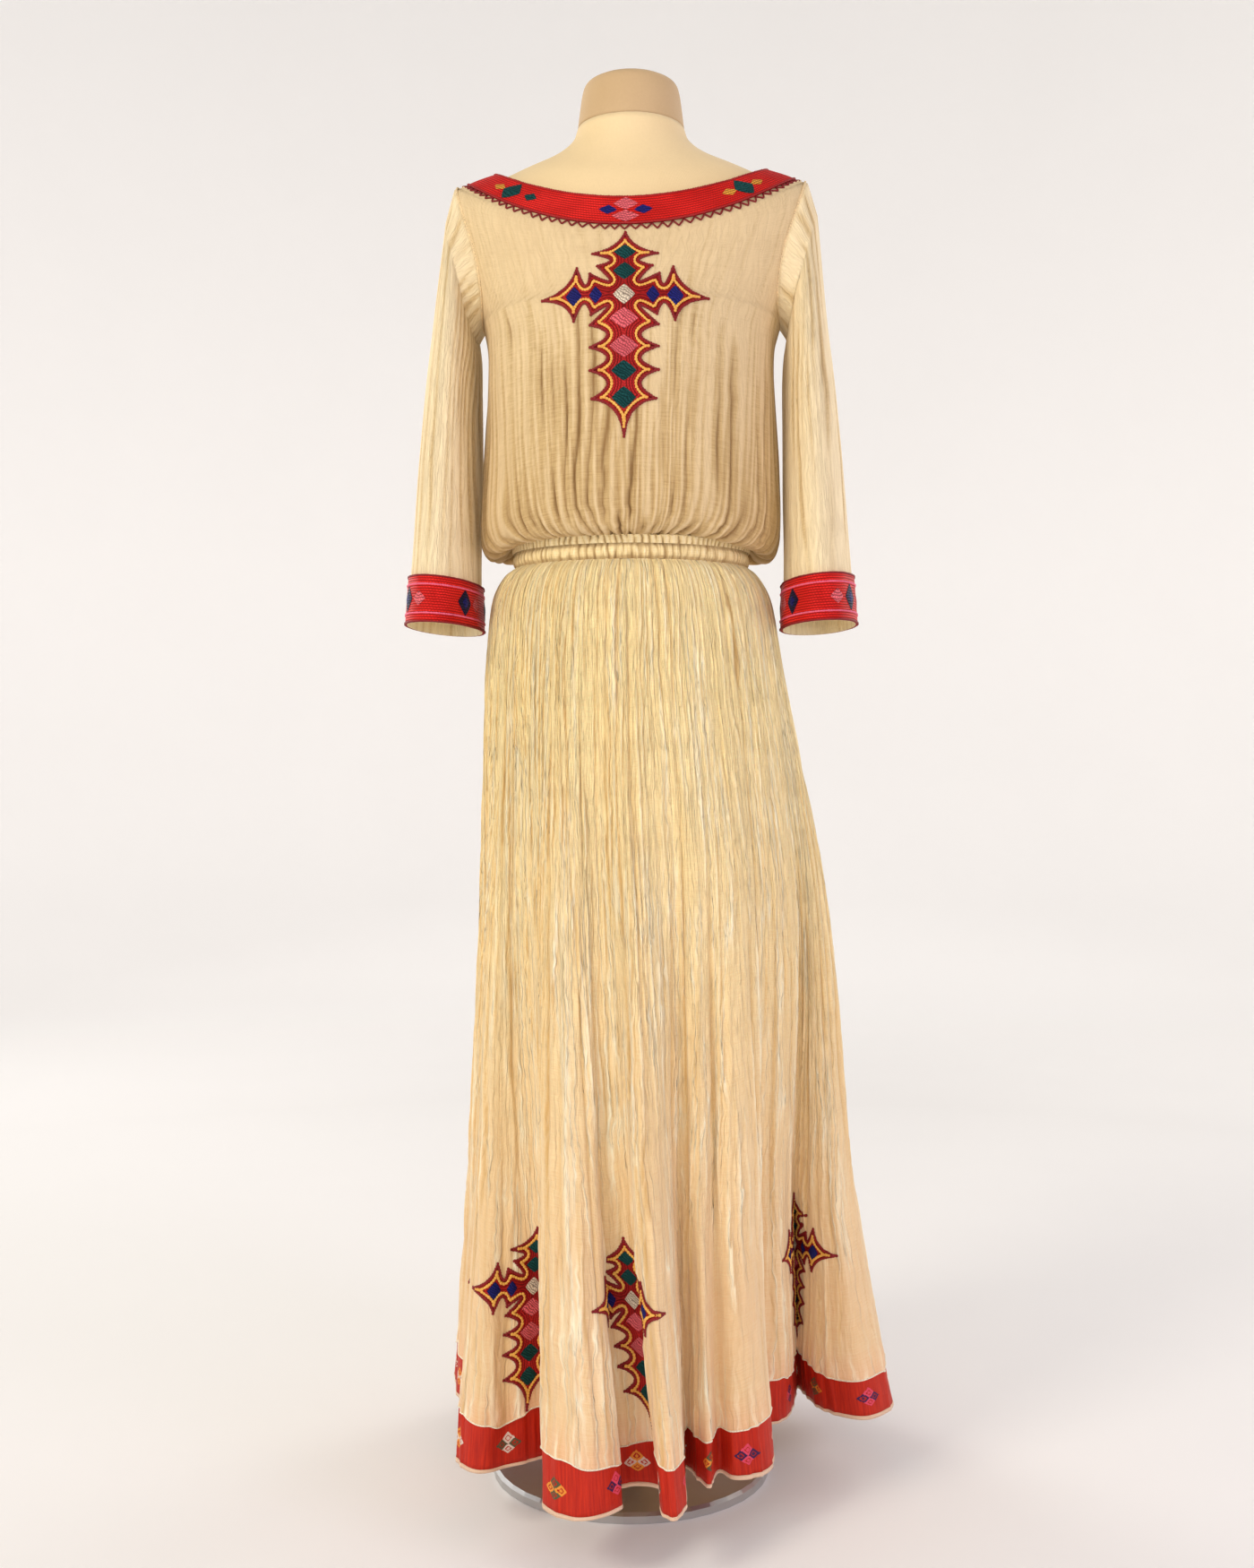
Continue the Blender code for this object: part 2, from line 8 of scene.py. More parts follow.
# %% Load the measured frame
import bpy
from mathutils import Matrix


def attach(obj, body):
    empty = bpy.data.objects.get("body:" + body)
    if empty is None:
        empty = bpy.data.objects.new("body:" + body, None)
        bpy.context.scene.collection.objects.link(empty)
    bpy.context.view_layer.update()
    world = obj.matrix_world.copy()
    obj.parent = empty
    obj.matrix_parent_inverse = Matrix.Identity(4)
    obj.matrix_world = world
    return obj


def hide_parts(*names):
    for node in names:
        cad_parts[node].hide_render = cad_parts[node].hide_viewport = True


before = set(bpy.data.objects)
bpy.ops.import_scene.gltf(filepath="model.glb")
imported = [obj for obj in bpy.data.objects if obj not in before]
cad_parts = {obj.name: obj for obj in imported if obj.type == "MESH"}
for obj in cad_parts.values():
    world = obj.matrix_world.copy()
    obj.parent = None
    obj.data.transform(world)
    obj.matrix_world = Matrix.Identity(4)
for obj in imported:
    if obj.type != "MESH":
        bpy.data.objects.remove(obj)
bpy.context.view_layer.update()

import math
from collections import namedtuple

import bpy
import numpy as np
from mathutils import Vector, geometry

MM = 0.001


def add_object(name, data):
    """A new object, in the scene."""
    made = bpy.data.objects.new(name, data)
    bpy.context.scene.collection.objects.link(made)
    return made


def new_mesh(name, points, edges, faces):
    made = bpy.data.meshes.new(name)
    made.from_pydata(points, edges, faces)
    return made


# %% [markdown]
# # Camera, floor and light
# The studio is plain: a seamless pale sweep, a warm key light up at the left, a wide one in front, a weak
# cool one low at the right that keeps the shade open, and two behind. The sweep is a bowl instead of a flat
# floor, so that no horizon shows from any side. It is a lathe of a few radii that glows more with
# distance.

# %% A level camera
CAMERA_AWAY = 1.74
CAMERA_TURN = math.radians(3)
CAMERA_HEIGHT = 0.70
FOCAL_PX = 1900
PHOTO_SIZE = (1400, 1750)
AXIS_PX = (704.5, 870.0)        # where the level axis of the form falls in the picture

camera = add_object("camera", bpy.data.cameras.new("camera"))
camera.location = (
    math.sin(CAMERA_TURN) * CAMERA_AWAY, -math.cos(CAMERA_TURN) * CAMERA_AWAY, CAMERA_HEIGHT,
)
camera.rotation_euler = (math.pi / 2, 0, CAMERA_TURN)
camera.data.sensor_fit = "VERTICAL"
camera.data.sensor_height = 36
camera.data.lens = 36 * FOCAL_PX / PHOTO_SIZE[1]
camera.data.shift_x = -(AXIS_PX[0] - PHOTO_SIZE[0] / 2) / PHOTO_SIZE[1]
camera.data.shift_y = (AXIS_PX[1] - PHOTO_SIZE[1] / 2) / PHOTO_SIZE[1]
bpy.context.scene.camera = camera
print("camera lens:", round(camera.data.lens, 2), "mm")

# %% Lights
LightRow = namedtuple("LightRow", "name place aim size power colour")
LIGHTS = [
    LightRow("key", (-2.0, -2.1, 2.5), (0.0, 0.0, 0.80), 1.1, 45, (1.0, 0.945, 0.84)),
    LightRow("front", (-0.4, -3.2, 1.6), (0.0, 0.0, 0.50), 2.2, 12, (1.0, 0.95, 0.90)),
    LightRow("fill", (2.1, -1.6, 1.2), (0.0, 0.0, 0.45), 1.1, 15, (0.80, 0.70, 1.0)),
    LightRow("back_left", (-1.8, 1.9, 1.9), (0.0, 0.0, 0.80), 1.6, 24, (1.0, 0.98, 0.96)),
    LightRow("back_right", (1.9, 1.7, 1.9), (0.0, 0.0, 0.80), 1.6, 19, (1.0, 0.98, 0.96)),
]


def add_light(row):
    lamp = bpy.data.lights.new(row.name, "AREA")
    lamp.shape = "DISK"
    lamp.size, lamp.energy, lamp.color = row.size, row.power, row.colour
    made = add_object(row.name, lamp)
    made.location = row.place
    made.rotation_euler = (Vector(row.aim) - Vector(row.place)).to_track_quat("-Z", "Y").to_euler()
    made.visible_camera = False


for light_row in LIGHTS:
    add_light(light_row)
world = bpy.data.worlds.new("studio")
world.use_nodes = True
world.node_tree.nodes["Background"].inputs["Color"].default_value = (1.0, 0.98, 0.955, 1)
world.node_tree.nodes["Background"].inputs["Strength"].default_value = 0.31
bpy.context.scene.world = world
bpy.context.scene.view_settings.view_transform = "Standard"
print("lights:", [row.name for row in LIGHTS])


# %% Shader helpers
def shader_node(tree, kind, **settings):
    made = tree.nodes.new(kind)
    for key, value in settings.items():
        setattr(made, key, value)
    return made


def feed(tree, socket, value):
    """Links a socket into an input, or sets the input to a plain value."""
    if isinstance(value, bpy.types.NodeSocket):
        tree.links.new(value, socket)
    else:
        socket.default_value = value


def calc(tree, operation, *values, clamp=False):
    made = shader_node(tree, "ShaderNodeMath", operation=operation, use_clamp=clamp)
    for socket, value in zip(made.inputs, values):
        feed(tree, socket, value)
    return made.outputs[0]


def times(tree, a, b, clamp=False):
    return calc(tree, "MULTIPLY", a, b, clamp=clamp)


def plus(tree, a, b, clamp=False):
    return calc(tree, "ADD", a, b, clamp=clamp)


def minus(tree, a, b, clamp=False):
    return calc(tree, "SUBTRACT", a, b, clamp=clamp)


def divided(tree, a, b):
    return calc(tree, "DIVIDE", a, b)


def wave(tree, value, rate):
    """Ridges from 0 to 1, the size of a sine."""
    return calc(tree, "ABSOLUTE", calc(tree, "SINE", times(tree, value, rate)))


def into(shader, name, value):
    feed(shader.id_data, shader.inputs[name], value)


def toned(colour, share, more=0.0):
    return tuple(min(1.0, c * share + more) for c in colour)


def stretched(tree, vector, scale, offset=(0, 0, 0)):
    """The vector multiplied by a scale in each direction, for a pattern that is longer one way."""
    made = shader_node(tree, "ShaderNodeMapping")
    feed(tree, made.inputs["Vector"], vector)
    made.inputs["Scale"].default_value = scale
    made.inputs["Location"].default_value = offset
    return made.outputs[0]


def noise(tree, vector, scale=1.0, detail=2.0, rough=0.5):
    made = shader_node(tree, "ShaderNodeTexNoise")
    feed(tree, made.inputs["Vector"], vector)
    feed(tree, made.inputs["Scale"], scale)
    made.inputs["Detail"].default_value = detail
    made.inputs["Roughness"].default_value = rough
    return made.outputs["Fac"]


def blend_colours(tree, factor, low, high, kind="MIX"):
    made = shader_node(tree, "ShaderNodeMix", data_type="RGBA", blend_type=kind)
    feed(tree, made.inputs[0], factor)
    for socket, value in ((made.inputs[6], low), (made.inputs[7], high)):
        feed(tree, socket, (*value, 1.0) if isinstance(value, tuple) and len(value) == 3 else value)
    return made.outputs[2]


def spread(tree, value, low, high):
    """Value taken from low..high to 0..1 and clamped."""
    made = shader_node(tree, "ShaderNodeMapRange", clamp=True)
    feed(tree, made.inputs["Value"], value)
    made.inputs["From Min"].default_value = low
    made.inputs["From Max"].default_value = high
    return made.outputs[0]


def bump(tree, height, distance, normal=None):
    made = shader_node(tree, "ShaderNodeBump")
    made.inputs["Distance"].default_value = distance
    feed(tree, made.inputs["Height"], height)
    if normal is not None:
        feed(tree, made.inputs["Normal"], normal)
    return made.outputs[0]


def new_material(name, roughness, metallic=0.0, sheen=0.0, specular=0.5, sheen_tint=(1, 1, 1)):
    made = bpy.data.materials.new(name)
    made.use_nodes = True
    shader = made.node_tree.nodes["Principled BSDF"]
    shader.inputs["Roughness"].default_value = roughness
    shader.inputs["Metallic"].default_value = metallic
    shader.inputs["Sheen Weight"].default_value = sheen
    shader.inputs["Sheen Tint"].default_value = (*sheen_tint, 1)
    shader.inputs["Sheen Roughness"].default_value = 0.4
    shader.inputs["Specular IOR Level"].default_value = specular
    return made, made.node_tree, shader


def uv_of(tree):
    return shader_node(tree, "ShaderNodeUVMap", uv_map="cloth").outputs[0]


def object_space(tree):
    return shader_node(tree, "ShaderNodeTexCoord").outputs["Object"]


print("shader helpers are ready")

# %% The studio sweep
SweepRow = namedtuple("SweepRow", "radius z")
SWEEP = [SweepRow(0.0, -0.0005), SweepRow(0.6, -0.0005), SweepRow(2.6, -0.0005), SweepRow(3.3, 0.06),
         SweepRow(3.8, 0.30), SweepRow(4.1, 0.75), SweepRow(4.2, 1.4), SweepRow(4.2, 3.6)]
SWEEP_SIDES = 96


def make_sweep():
    angle = np.linspace(0, 2 * math.pi, SWEEP_SIDES, endpoint=False)
    points = [(row.radius * math.cos(a), row.radius * math.sin(a), row.z) for row in SWEEP[1:] for a in angle]
    faces = [tuple(range(SWEEP_SIDES))]
    for i in range(len(SWEEP) - 2):
        for j in range(SWEEP_SIDES):
            k = (j + 1) % SWEEP_SIDES
            low, high = i * SWEEP_SIDES, (i + 1) * SWEEP_SIDES
            faces.append((low + j, high + j, high + k, low + k))
    mesh = new_mesh("sweep", points, [], faces)
    mesh.shade_smooth()
    paint, tree, shader = new_material("sweep_paint", 0.9, specular=0.2)
    mottle = noise(tree, object_space(tree), 3.0)
    into(shader, "Base Color", blend_colours(tree, mottle, (0.79, 0.775, 0.76), (0.81, 0.795, 0.78)))
    reach = shader_node(tree, "ShaderNodeVectorMath", operation="LENGTH")
    feed(tree, reach.inputs[0], stretched(tree, object_space(tree), (1, 1, 1), (0.0, 0.3, 0.0)))
    into(shader, "Emission Color", blend_colours(tree, spread(tree, reach.outputs["Value"], 2.3, 3.7),
                                                 (0.24, 0.235, 0.23), (1.0, 0.975, 0.955)))
    shader.inputs["Emission Strength"].default_value = 0.262
    mesh.materials.append(paint)
    add_object("studio_sweep", mesh)
    return len(faces)


print("sweep faces:", make_sweep())

# %% [markdown]
# # The measured shape, repeated
# The frame holds closed solids, too coarse for folds that catch the light. Its own formulas are written here
# again: rings for the bodice and the form, sections for a sleeve, levels and hem turns for the skirt. Any
# finer surface worked out from them follows the wall of its solid, and folds are added over it.

# %% Sizes of the cut
WALL = 0.0016
BAND_WALL = 0.0014
SEAM_GAP = 0.0003
LAP_GAP = 0.0011
BAND_GAP = 0.0007
FIT_GAP = 0.0028
NECK_BAND_WIDTH = 0.031
CUFF_WIDTH = 0.048
HEM_Z = 0.060
HEM_BAND_WIDTH = 0.055
CASING_LOW, CASING_HIGH = 0.9142, 0.9284
CASING_INSET = 0.0016
ARMHOLE_LOW_ROW, ARMHOLE_HIGH_ROW = 8.0, 10.4
ARMHOLE_FRONT_DEG = 64.0
HEM_TURNED = math.radians(3)
FOLDS_START_Z = 0.88
FOLD_GROWTH = 1.8
CARRYING_ROWS = (10.4, 10.8, 11.4, 12.0)

Ring = namedtuple("Ring", "front_z side_z back_z half_width front back")
BODICE_RINGS = [
    Ring(0.9290, 0.9290, 0.9290, 0.1190, 0.0960, 0.0925),
    Ring(0.9375, 0.9385, 0.9375, 0.1205, 0.0985, 0.0950),
    Ring(0.9400, 0.9270, 0.9350, 0.1310, 0.1080, 0.1030),
    Ring(0.9490, 0.9265, 0.9410, 0.1430, 0.1165, 0.1105),
    Ring(0.9720, 0.9480, 0.9640, 0.1500, 0.1235, 0.1150),
    Ring(1.0250, 1.0100, 1.0200, 0.1480, 0.1265, 0.1130),
    Ring(1.0850, 1.0800, 1.0850, 0.1455, 0.1290, 0.1090),
    Ring(1.1350, 1.1300, 1.1350, 0.1450, 0.1290, 0.1060),
    Ring(1.1650, 1.1600, 1.1700, 0.1500, 0.1235, 0.1040),
    Ring(1.2000, 1.2170, 1.2150, 0.1660, 0.1125, 0.1000),
    Ring(1.2280, 1.2950, 1.2550, 0.1810, 0.1030, 0.0930),
    Ring(1.2450, 1.3065, 1.2730, 0.1630, 0.0975, 0.0880),
    Ring(1.2630, 1.3150, 1.2900, 0.1380, 0.0930, 0.0830),
]
NECKLINE_ROW = len(BODICE_RINGS) - 1
FORM_BODY_RINGS = [
    Ring(0.6950, 0.6950, 0.6950, 0.1280, 0.0940, 0.0980),
    Ring(0.7350, 0.7350, 0.7350, 0.1360, 0.1010, 0.1080),
    Ring(0.7850, 0.7850, 0.7850, 0.1385, 0.1035, 0.1120),
    Ring(0.8500, 0.8500, 0.8500, 0.1340, 0.1000, 0.1060),
    Ring(0.8900, 0.8900, 0.8900, 0.1215, 0.0935, 0.0935),
    Ring(0.9100, 0.9100, 0.9100, 0.1167, 0.0937, 0.0902),
    Ring(0.9500, 0.9500, 0.9500, 0.1167, 0.0937, 0.0895),
    Ring(1.0200, 1.0200, 1.0200, 0.1240, 0.1010, 0.0920),
    Ring(1.0800, 1.0800, 1.0800, 0.1320, 0.1130, 0.0950),
    Ring(1.1350, 1.1300, 1.1350, 0.1345, 0.1190, 0.0945),
    Ring(1.1650, 1.1600, 1.1700, 0.1400, 0.1150, 0.0940),
    Ring(1.2000, 1.2130, 1.2150, 0.1550, 0.1050, 0.0910),
]
FORM_NECK_SLOPE_RINGS = [
    Ring(1.2900, 1.3250, 1.3120, 0.1050, 0.0810, 0.0760),
    Ring(1.3150, 1.3370, 1.3300, 0.0760, 0.0670, 0.0680),
    Ring(1.3390, 1.3490, 1.3470, 0.0600, 0.0575, 0.0600),
    Ring(1.3620, 1.3620, 1.3620, 0.0545, 0.0535, 0.0555),
]
FORM_NECK_RINGS = [
    Ring(1.3623, 1.3623, 1.3623, 0.0545, 0.0535, 0.0555),
    Ring(1.3820, 1.3820, 1.3820, 0.0520, 0.0510, 0.0530),
    Ring(1.3980, 1.3980, 1.3980, 0.0496, 0.0485, 0.0505),
    Ring(1.4065, 1.4065, 1.4065, 0.0462, 0.0450, 0.0470),
    Ring(1.4110, 1.4110, 1.4110, 0.0390, 0.0380, 0.0400),
]
SleeveRing = namedtuple("SleeveRing", "outer_x outer_z inner_x inner_z reach")
SLEEVE_RINGS = [
    SleeveRing(0.1870, 1.2700, 0.1600, 1.1480, 0.0530),
    SleeveRing(0.1915, 1.2220, 0.1575, 1.1270, 0.0620),
    SleeveRing(0.1975, 1.1600, 0.1570, 1.0950, 0.0700),
    SleeveRing(0.2045, 1.1000, 0.1570, 1.0600, 0.0740),
    SleeveRing(0.2120, 1.0200, 0.1570, 1.0000, 0.0770),
    SleeveRing(0.2195, 0.9400, 0.1570, 0.9310, 0.0790),
    SleeveRing(0.2265, 0.8560, 0.1560, 0.8520, 0.0810),
]
SLEEVE_END = float(len(SLEEVE_RINGS))
Level = namedtuple("Level", "z left right front back")
SKIRT_LEVELS = [
    Level(0.9127, 0.1190, 0.1190, 0.0960, 0.0925),
    Level(0.9050, 0.1280, 0.1280, 0.1030, 0.1010),
    Level(0.8900, 0.1365, 0.1370, 0.1090, 0.1100),
    Level(0.8720, 0.1410, 0.1430, 0.1140, 0.1180),
    Level(0.8400, 0.1440, 0.1490, 0.1180, 0.1250),
    Level(0.7900, 0.1470, 0.1570, 0.1220, 0.1310),
    Level(0.7000, 0.1490, 0.1740, 0.1310, 0.1380),
    Level(0.5950, 0.1525, 0.1930, 0.1480, 0.1500),
    Level(0.4900, 0.1570, 0.2040, 0.1680, 0.1660),
    Level(0.3800, 0.1610, 0.2120, 0.1880, 0.1820),
    Level(0.2700, 0.1660, 0.2210, 0.2080, 0.1990),
    Level(0.1150, 0.1750, 0.2450, 0.2300, 0.2200),
    Level(0.0600, 0.1790, 0.2550, 0.2400, 0.2270),
]
HEM_LEVEL = len(SKIRT_LEVELS) - 1
Turn = namedtuple("Turn", "x y")
FRONT_TURNS = [Turn(*pair) for pair in (
    (-0.184, 0.058), (-0.177, 0.022), (-0.150, 0.004), (-0.128, -0.045), (-0.143, -0.098), (-0.163, -0.140),
    (-0.142, -0.171), (-0.108, -0.152), (-0.074, -0.132), (-0.052, -0.160), (-0.078, -0.240),
    (-0.046, -0.272), (-0.010, -0.250), (-0.012, -0.208), (0.012, -0.199), (0.030, -0.212), (0.026, -0.250),
    (0.037, -0.272), (0.049, -0.240), (0.050, -0.160), (0.062, -0.186), (0.071, -0.203), (0.081, -0.170),
    (0.098, -0.186), (0.127, -0.168), (0.134, -0.120), (0.118, -0.060), (0.150, -0.043), (0.166, -0.002),
    (0.176, 0.052), (0.196, -0.010), (0.233, -0.037), (0.264, -0.008), (0.268, 0.036),
)]
BACK_TURNS = [Turn(*pair) for pair in (
    (0.268, 0.036), (0.232, 0.078), (0.250, 0.128), (0.222, 0.158), (0.168, 0.142), (0.168, 0.206),
    (0.128, 0.226), (0.092, 0.176), (0.062, 0.236), (0.018, 0.246), (-0.008, 0.190), (-0.046, 0.240),
    (-0.082, 0.226), (-0.086, 0.168), (-0.132, 0.194), (-0.160, 0.164), (-0.140, 0.112), (-0.188, 0.104),
    (-0.184, 0.058),
)]
HALVES = {"front": (FRONT_TURNS, 0.0), "back": (BACK_TURNS, math.pi)}
print("bodice rings:", len(BODICE_RINGS), "skirt levels:", len(SKIRT_LEVELS), "hem turns:",
      len(FRONT_TURNS) + len(BACK_TURNS))


# %% Smooth curves through the tables
def smooth_between(rows, t):
    """The table's columns at fractional row numbers t, on a smooth curve through the rows."""
    table = np.array(rows, float)
    last = len(table) - 1
    t = np.clip(np.asarray(t, float), 0, last)
    low = np.minimum(t.astype(int), last - 1)
    f = (t - low)[..., None]
    slope = np.gradient(table, axis=0)
    a, b, da, db = table[low], table[low + 1], slope[low], slope[low + 1]
    return (
        a * (1 + 2 * f) * (1 - f) ** 2 + da * f * (1 - f) ** 2 + b * f * f * (3 - 2 * f) - db * f * f
        * (1 - f)
    )


def ring_points(rows, t, angle):
    """Points of a body of rings at row numbers t and angles from the front centre towards +X."""
    front_z, side_z, back_z, half_width, front, back = np.moveaxis(smooth_between(rows, t), -1, 0)
    s, c = np.sin(angle), np.cos(angle)
    x = half_width * s
    y = np.where(c > 0, -front * c, -back * c)
    z = side_z + np.where(c > 0, front_z - side_z, back_z - side_z) * np.abs(c) ** 1.6
    return np.stack([x, y, z], axis=-1)


def outward(surface, t, across, last, middle):
    """Unit normals of a surface(t, across) whose t grows upwards, from steps taken towards its middle."""
    dt = np.where(t > last / 2, -1e-3, 1e-3)
    da = np.where(across > middle, -1e-4, 1e-4)
    here = surface(t, across)
    up = (surface(t + dt, across) - here) / dt[..., None]
    along = (surface(t, across + da) - here) / da[..., None]
    n = np.cross(along, up)
    return n / np.maximum(np.linalg.norm(n, axis=-1, keepdims=True), 1e-12)


def grid_of(rows, columns):
    """Row and column values at every point of a grid."""
    return np.meshgrid(rows, columns, indexing="ij")


def half_round(columns, facing):
    """Angles from side to side round the half that faces one way."""
    return np.linspace(-math.pi / 2, math.pi / 2, columns) + facing


def run_along(line):
    """Distance along a line of points, from 0 at its first."""
    return np.concatenate([[0], np.cumsum(np.linalg.norm(np.diff(line, axis=0), axis=1))])


print("neckline front:", ring_points(BODICE_RINGS, np.array([12.0]), np.array([0.0]))[0].round(4))


# %% [markdown]
# Unevenness
# Gathered gauze is never regular: its ridges differ in width, wander as they fall, and fade in and out. Plain
# sine waves look moulded. Here a ridge number is warped by smooth seeded noise, which gives uneven widths,
# and each trough gets its own depth, so that narrow troughs stand between broad soft ridges as on real cloth.

# %% Noise and creases
RIPPLE_TABLE = (251, 61)        # random values across and along before they repeat
LINE_CREST = 0.76               # where a small pleat is highest, as a share of its width


def ripple(seed, across, along=0.0):
    """Smooth random values from -1 to 1, a new one for each unit of across and of along."""
    table = np.random.default_rng(seed).uniform(-1, 1, RIPPLE_TABLE)
    across, along = np.broadcast_arrays(np.asarray(across, float), np.asarray(along, float))
    i, j = np.floor(across).astype(int), np.floor(along).astype(int)
    f, g = across - i, along - j
    f, g = f * f * (3 - 2 * f), g * g * (3 - 2 * g)

    def pick(a, b):
        return table[a % RIPPLE_TABLE[0], b % RIPPLE_TABLE[1]]

    low = pick(i, j) * (1 - f) + pick(i + 1, j) * f
    high = pick(i, j + 1) * (1 - f) + pick(i + 1, j + 1) * f
    return low * (1 - g) + high * g


def creases(seed, ridges, along, sharp=0.6, depth=(0.25, 1.0), ends=None):
    """Height from 0 in a deep trough to 1 on a ridge, for a ridge number and a distance along the ridges.
    Ends gives the nearest and the furthest distance at which a trough fades out."""
    number = (ridges + 0.85 * ripple(seed + 3, ridges / 5) + 0.45 * ripple(seed, ridges / 3, along * 0.5)
              + 0.17 * ripple(seed + 1, ridges, along) + 0.10 * ripple(seed + 6, ridges / 2, along * 3.5))
    low, high = depth
    strength = low + (high - low) * np.clip(0.5 + 0.8 * ripple(seed + 2, number, along * 0.8), 0, 1)
    if ends:
        last = ends[0] + (ends[1] - ends[0]) * (0.5 + 0.5 * ripple(seed + 4, number))
        strength = strength * np.clip((last - along) / 1.2, 0, 1)
    return 1 - strength * (1 - np.abs(np.sin(math.pi * number)) ** sharp)


def raised_lines(seed, number, along):
    """Height and painted shade, each from 0 to 1, of small pleats that wander, start and stop. Each rises
    slowly to its crest and then falls steeply, as a crinkle pressed to one side does, and its foot gets painted
    shade."""
    place = (number + 0.9 * ripple(seed + 3, number / 4) + 0.50 * ripple(seed, number / 3, along * 0.8)
             + 0.24 * ripple(seed + 1, number / 1.5, along * 2.6) + 0.11
             * ripple(seed + 6, number, along * 7))
    strength = np.clip(0.50 + 0.95 * ripple(seed + 2, np.floor(place), along * 1.1), 0, 1)
    across = place - np.floor(place)
    height = strength * np.where(across < LINE_CREST, (across / LINE_CREST) ** 1.7,
                                 (1 - across) / (1 - LINE_CREST))
    return height, strength * np.exp(-((across - 0.25 * LINE_CREST - 0.75) / 0.11) ** 2)


print("a row of creases:", creases(5, np.linspace(0, 2, 9), np.zeros(9)).round(2))


# %% [markdown]
# # From a grid of points to a sheet of cloth
# Every cloth piece is one open grid with a map in metres of flat cloth, so that the weave follows the thread.
# A Solidify modifier thickens sleeves and bands, and the rest is single faces. The fold height is kept as an
# attribute for the material, which paints shade into the colour in a trough, where light reaches the cloth
# only through other cloth, and a highlight along a raised crest.

# %% Grid to mesh
def grid_faces(rows, columns, spans):
    """Row and column of each face of a grid, and its four points."""
    i, j = grid_of(np.arange(rows - 1), np.arange(spans))
    k = (j + 1) % columns
    quads = np.stack([i * columns + j, i * columns + k, (i + 1) * columns + k, (i + 1) * columns + j],
                     axis=-1)
    return i, j, quads.reshape(-1, 4).tolist()


def cloth_piece(name, grid, flat, thickness, material, fold=None, closed=False):
    """An object from a grid of points whose rows go up and columns go round towards +X, with a map of flat
    positions in metres and an attribute of fold heights, which the gauze paints as shade and highlight."""
    rows, columns = grid.shape[:2]
    i, j, faces = grid_faces(rows, columns, columns if closed else columns - 1)
    mesh = new_mesh(name, grid.reshape(-1, 3).tolist(), [], faces)
    corners = np.stack([flat[i, j], flat[i, j + 1], flat[i + 1, j + 1], flat[i + 1, j]], axis=2)
    mesh.uv_layers.new(name="cloth").data.foreach_set("uv", corners.astype(np.float32).ravel())
    if fold is not None:
        made = mesh.attributes.new("fold", "FLOAT", "POINT")
        made.data.foreach_set("value", np.asarray(fold, np.float32).ravel())
    mesh.materials.append(material)
    mesh.shade_smooth()
    obj = add_object(name, mesh)
    if thickness:
        wall = obj.modifiers.new("thickness", "SOLIDIFY")
        wall.thickness = thickness
        wall.offset = 0.0
    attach(obj, "root")
    return obj


def flat_map(grid, width=None):
    """Flat positions for a grid: across by the widest row's run, up by the mean run of the columns."""
    steps = np.linalg.norm(np.diff(grid, axis=1), axis=2)
    widest = steps[np.argmax(steps.sum(axis=1))]
    u = np.concatenate([[0], np.cumsum(widest)])
    if width:
        u = u / u[-1] * width
    v = np.concatenate([[0], np.cumsum(np.linalg.norm(np.diff(grid, axis=0), axis=2).mean(axis=1))])
    return np.stack(np.broadcast_arrays(u[None, :], v[:, None]), axis=-1)


def closed_up(grid):
    """A tube's grid with its first column again at the end."""
    return np.concatenate([grid, grid[:, :1]], axis=1)


def surface_area(grid):
    a, b, c, d = grid[:-1, :-1], grid[:-1, 1:], grid[1:, 1:], grid[1:, :-1]
    halves = np.linalg.norm(np.cross(b - a, d - a), axis=-1) + np.linalg.norm(np.cross(b - c, d - c), axis=-1)
    return float(halves.sum() / 2)


def finish_piece(obj, slot, *replaced):
    """Hides the frame's parts that a finished piece replaces, and gives the piece back."""
    if replaced:
        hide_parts(*replaced)
    return obj


print("grid tools are ready")

# %% [markdown]
# # Hand-woven gauze
# The cloth is fine handspun cotton in an open plain weave, cream with a yellow cast, crinkled along its
# length and full of slubs. One shader group makes the weave from the flat map: warp and weft as sine ridges
# that noise pushes out of line, thick and thin threads as long streaks. A second makes fine crinkles too
# small for a mesh. Both put out plain heights and masks, and the material itself decides what they do to
# colour and bump.

# %% The weave group
GAUZE_PITCH = 0.00105           # spacing of the threads


def new_group(name, inputs, outputs):
    tree = bpy.data.node_groups.new(name, "ShaderNodeTree")
    for label, default in inputs:
        kind = "NodeSocketVector" if default is None else "NodeSocketFloat"
        socket = tree.interface.new_socket(label, in_out="INPUT", socket_type=kind)
        if default is not None:
            socket.default_value = default
    for label in outputs:
        tree.interface.new_socket(label, in_out="OUTPUT", socket_type="NodeSocketFloat")
    return tree, shader_node(tree, "NodeGroupInput").outputs, shader_node(tree, "NodeGroupOutput").inputs


def use_group(tree, group, **values):
    made = shader_node(tree, "ShaderNodeGroup", node_tree=group)
    for key, value in values.items():
        feed(tree, made.inputs[key.replace("_", " ")], value)
    return made.outputs


def split(tree, vector):
    made = shader_node(tree, "ShaderNodeSeparateXYZ")
    feed(tree, made.inputs[0], vector)
    return made.outputs


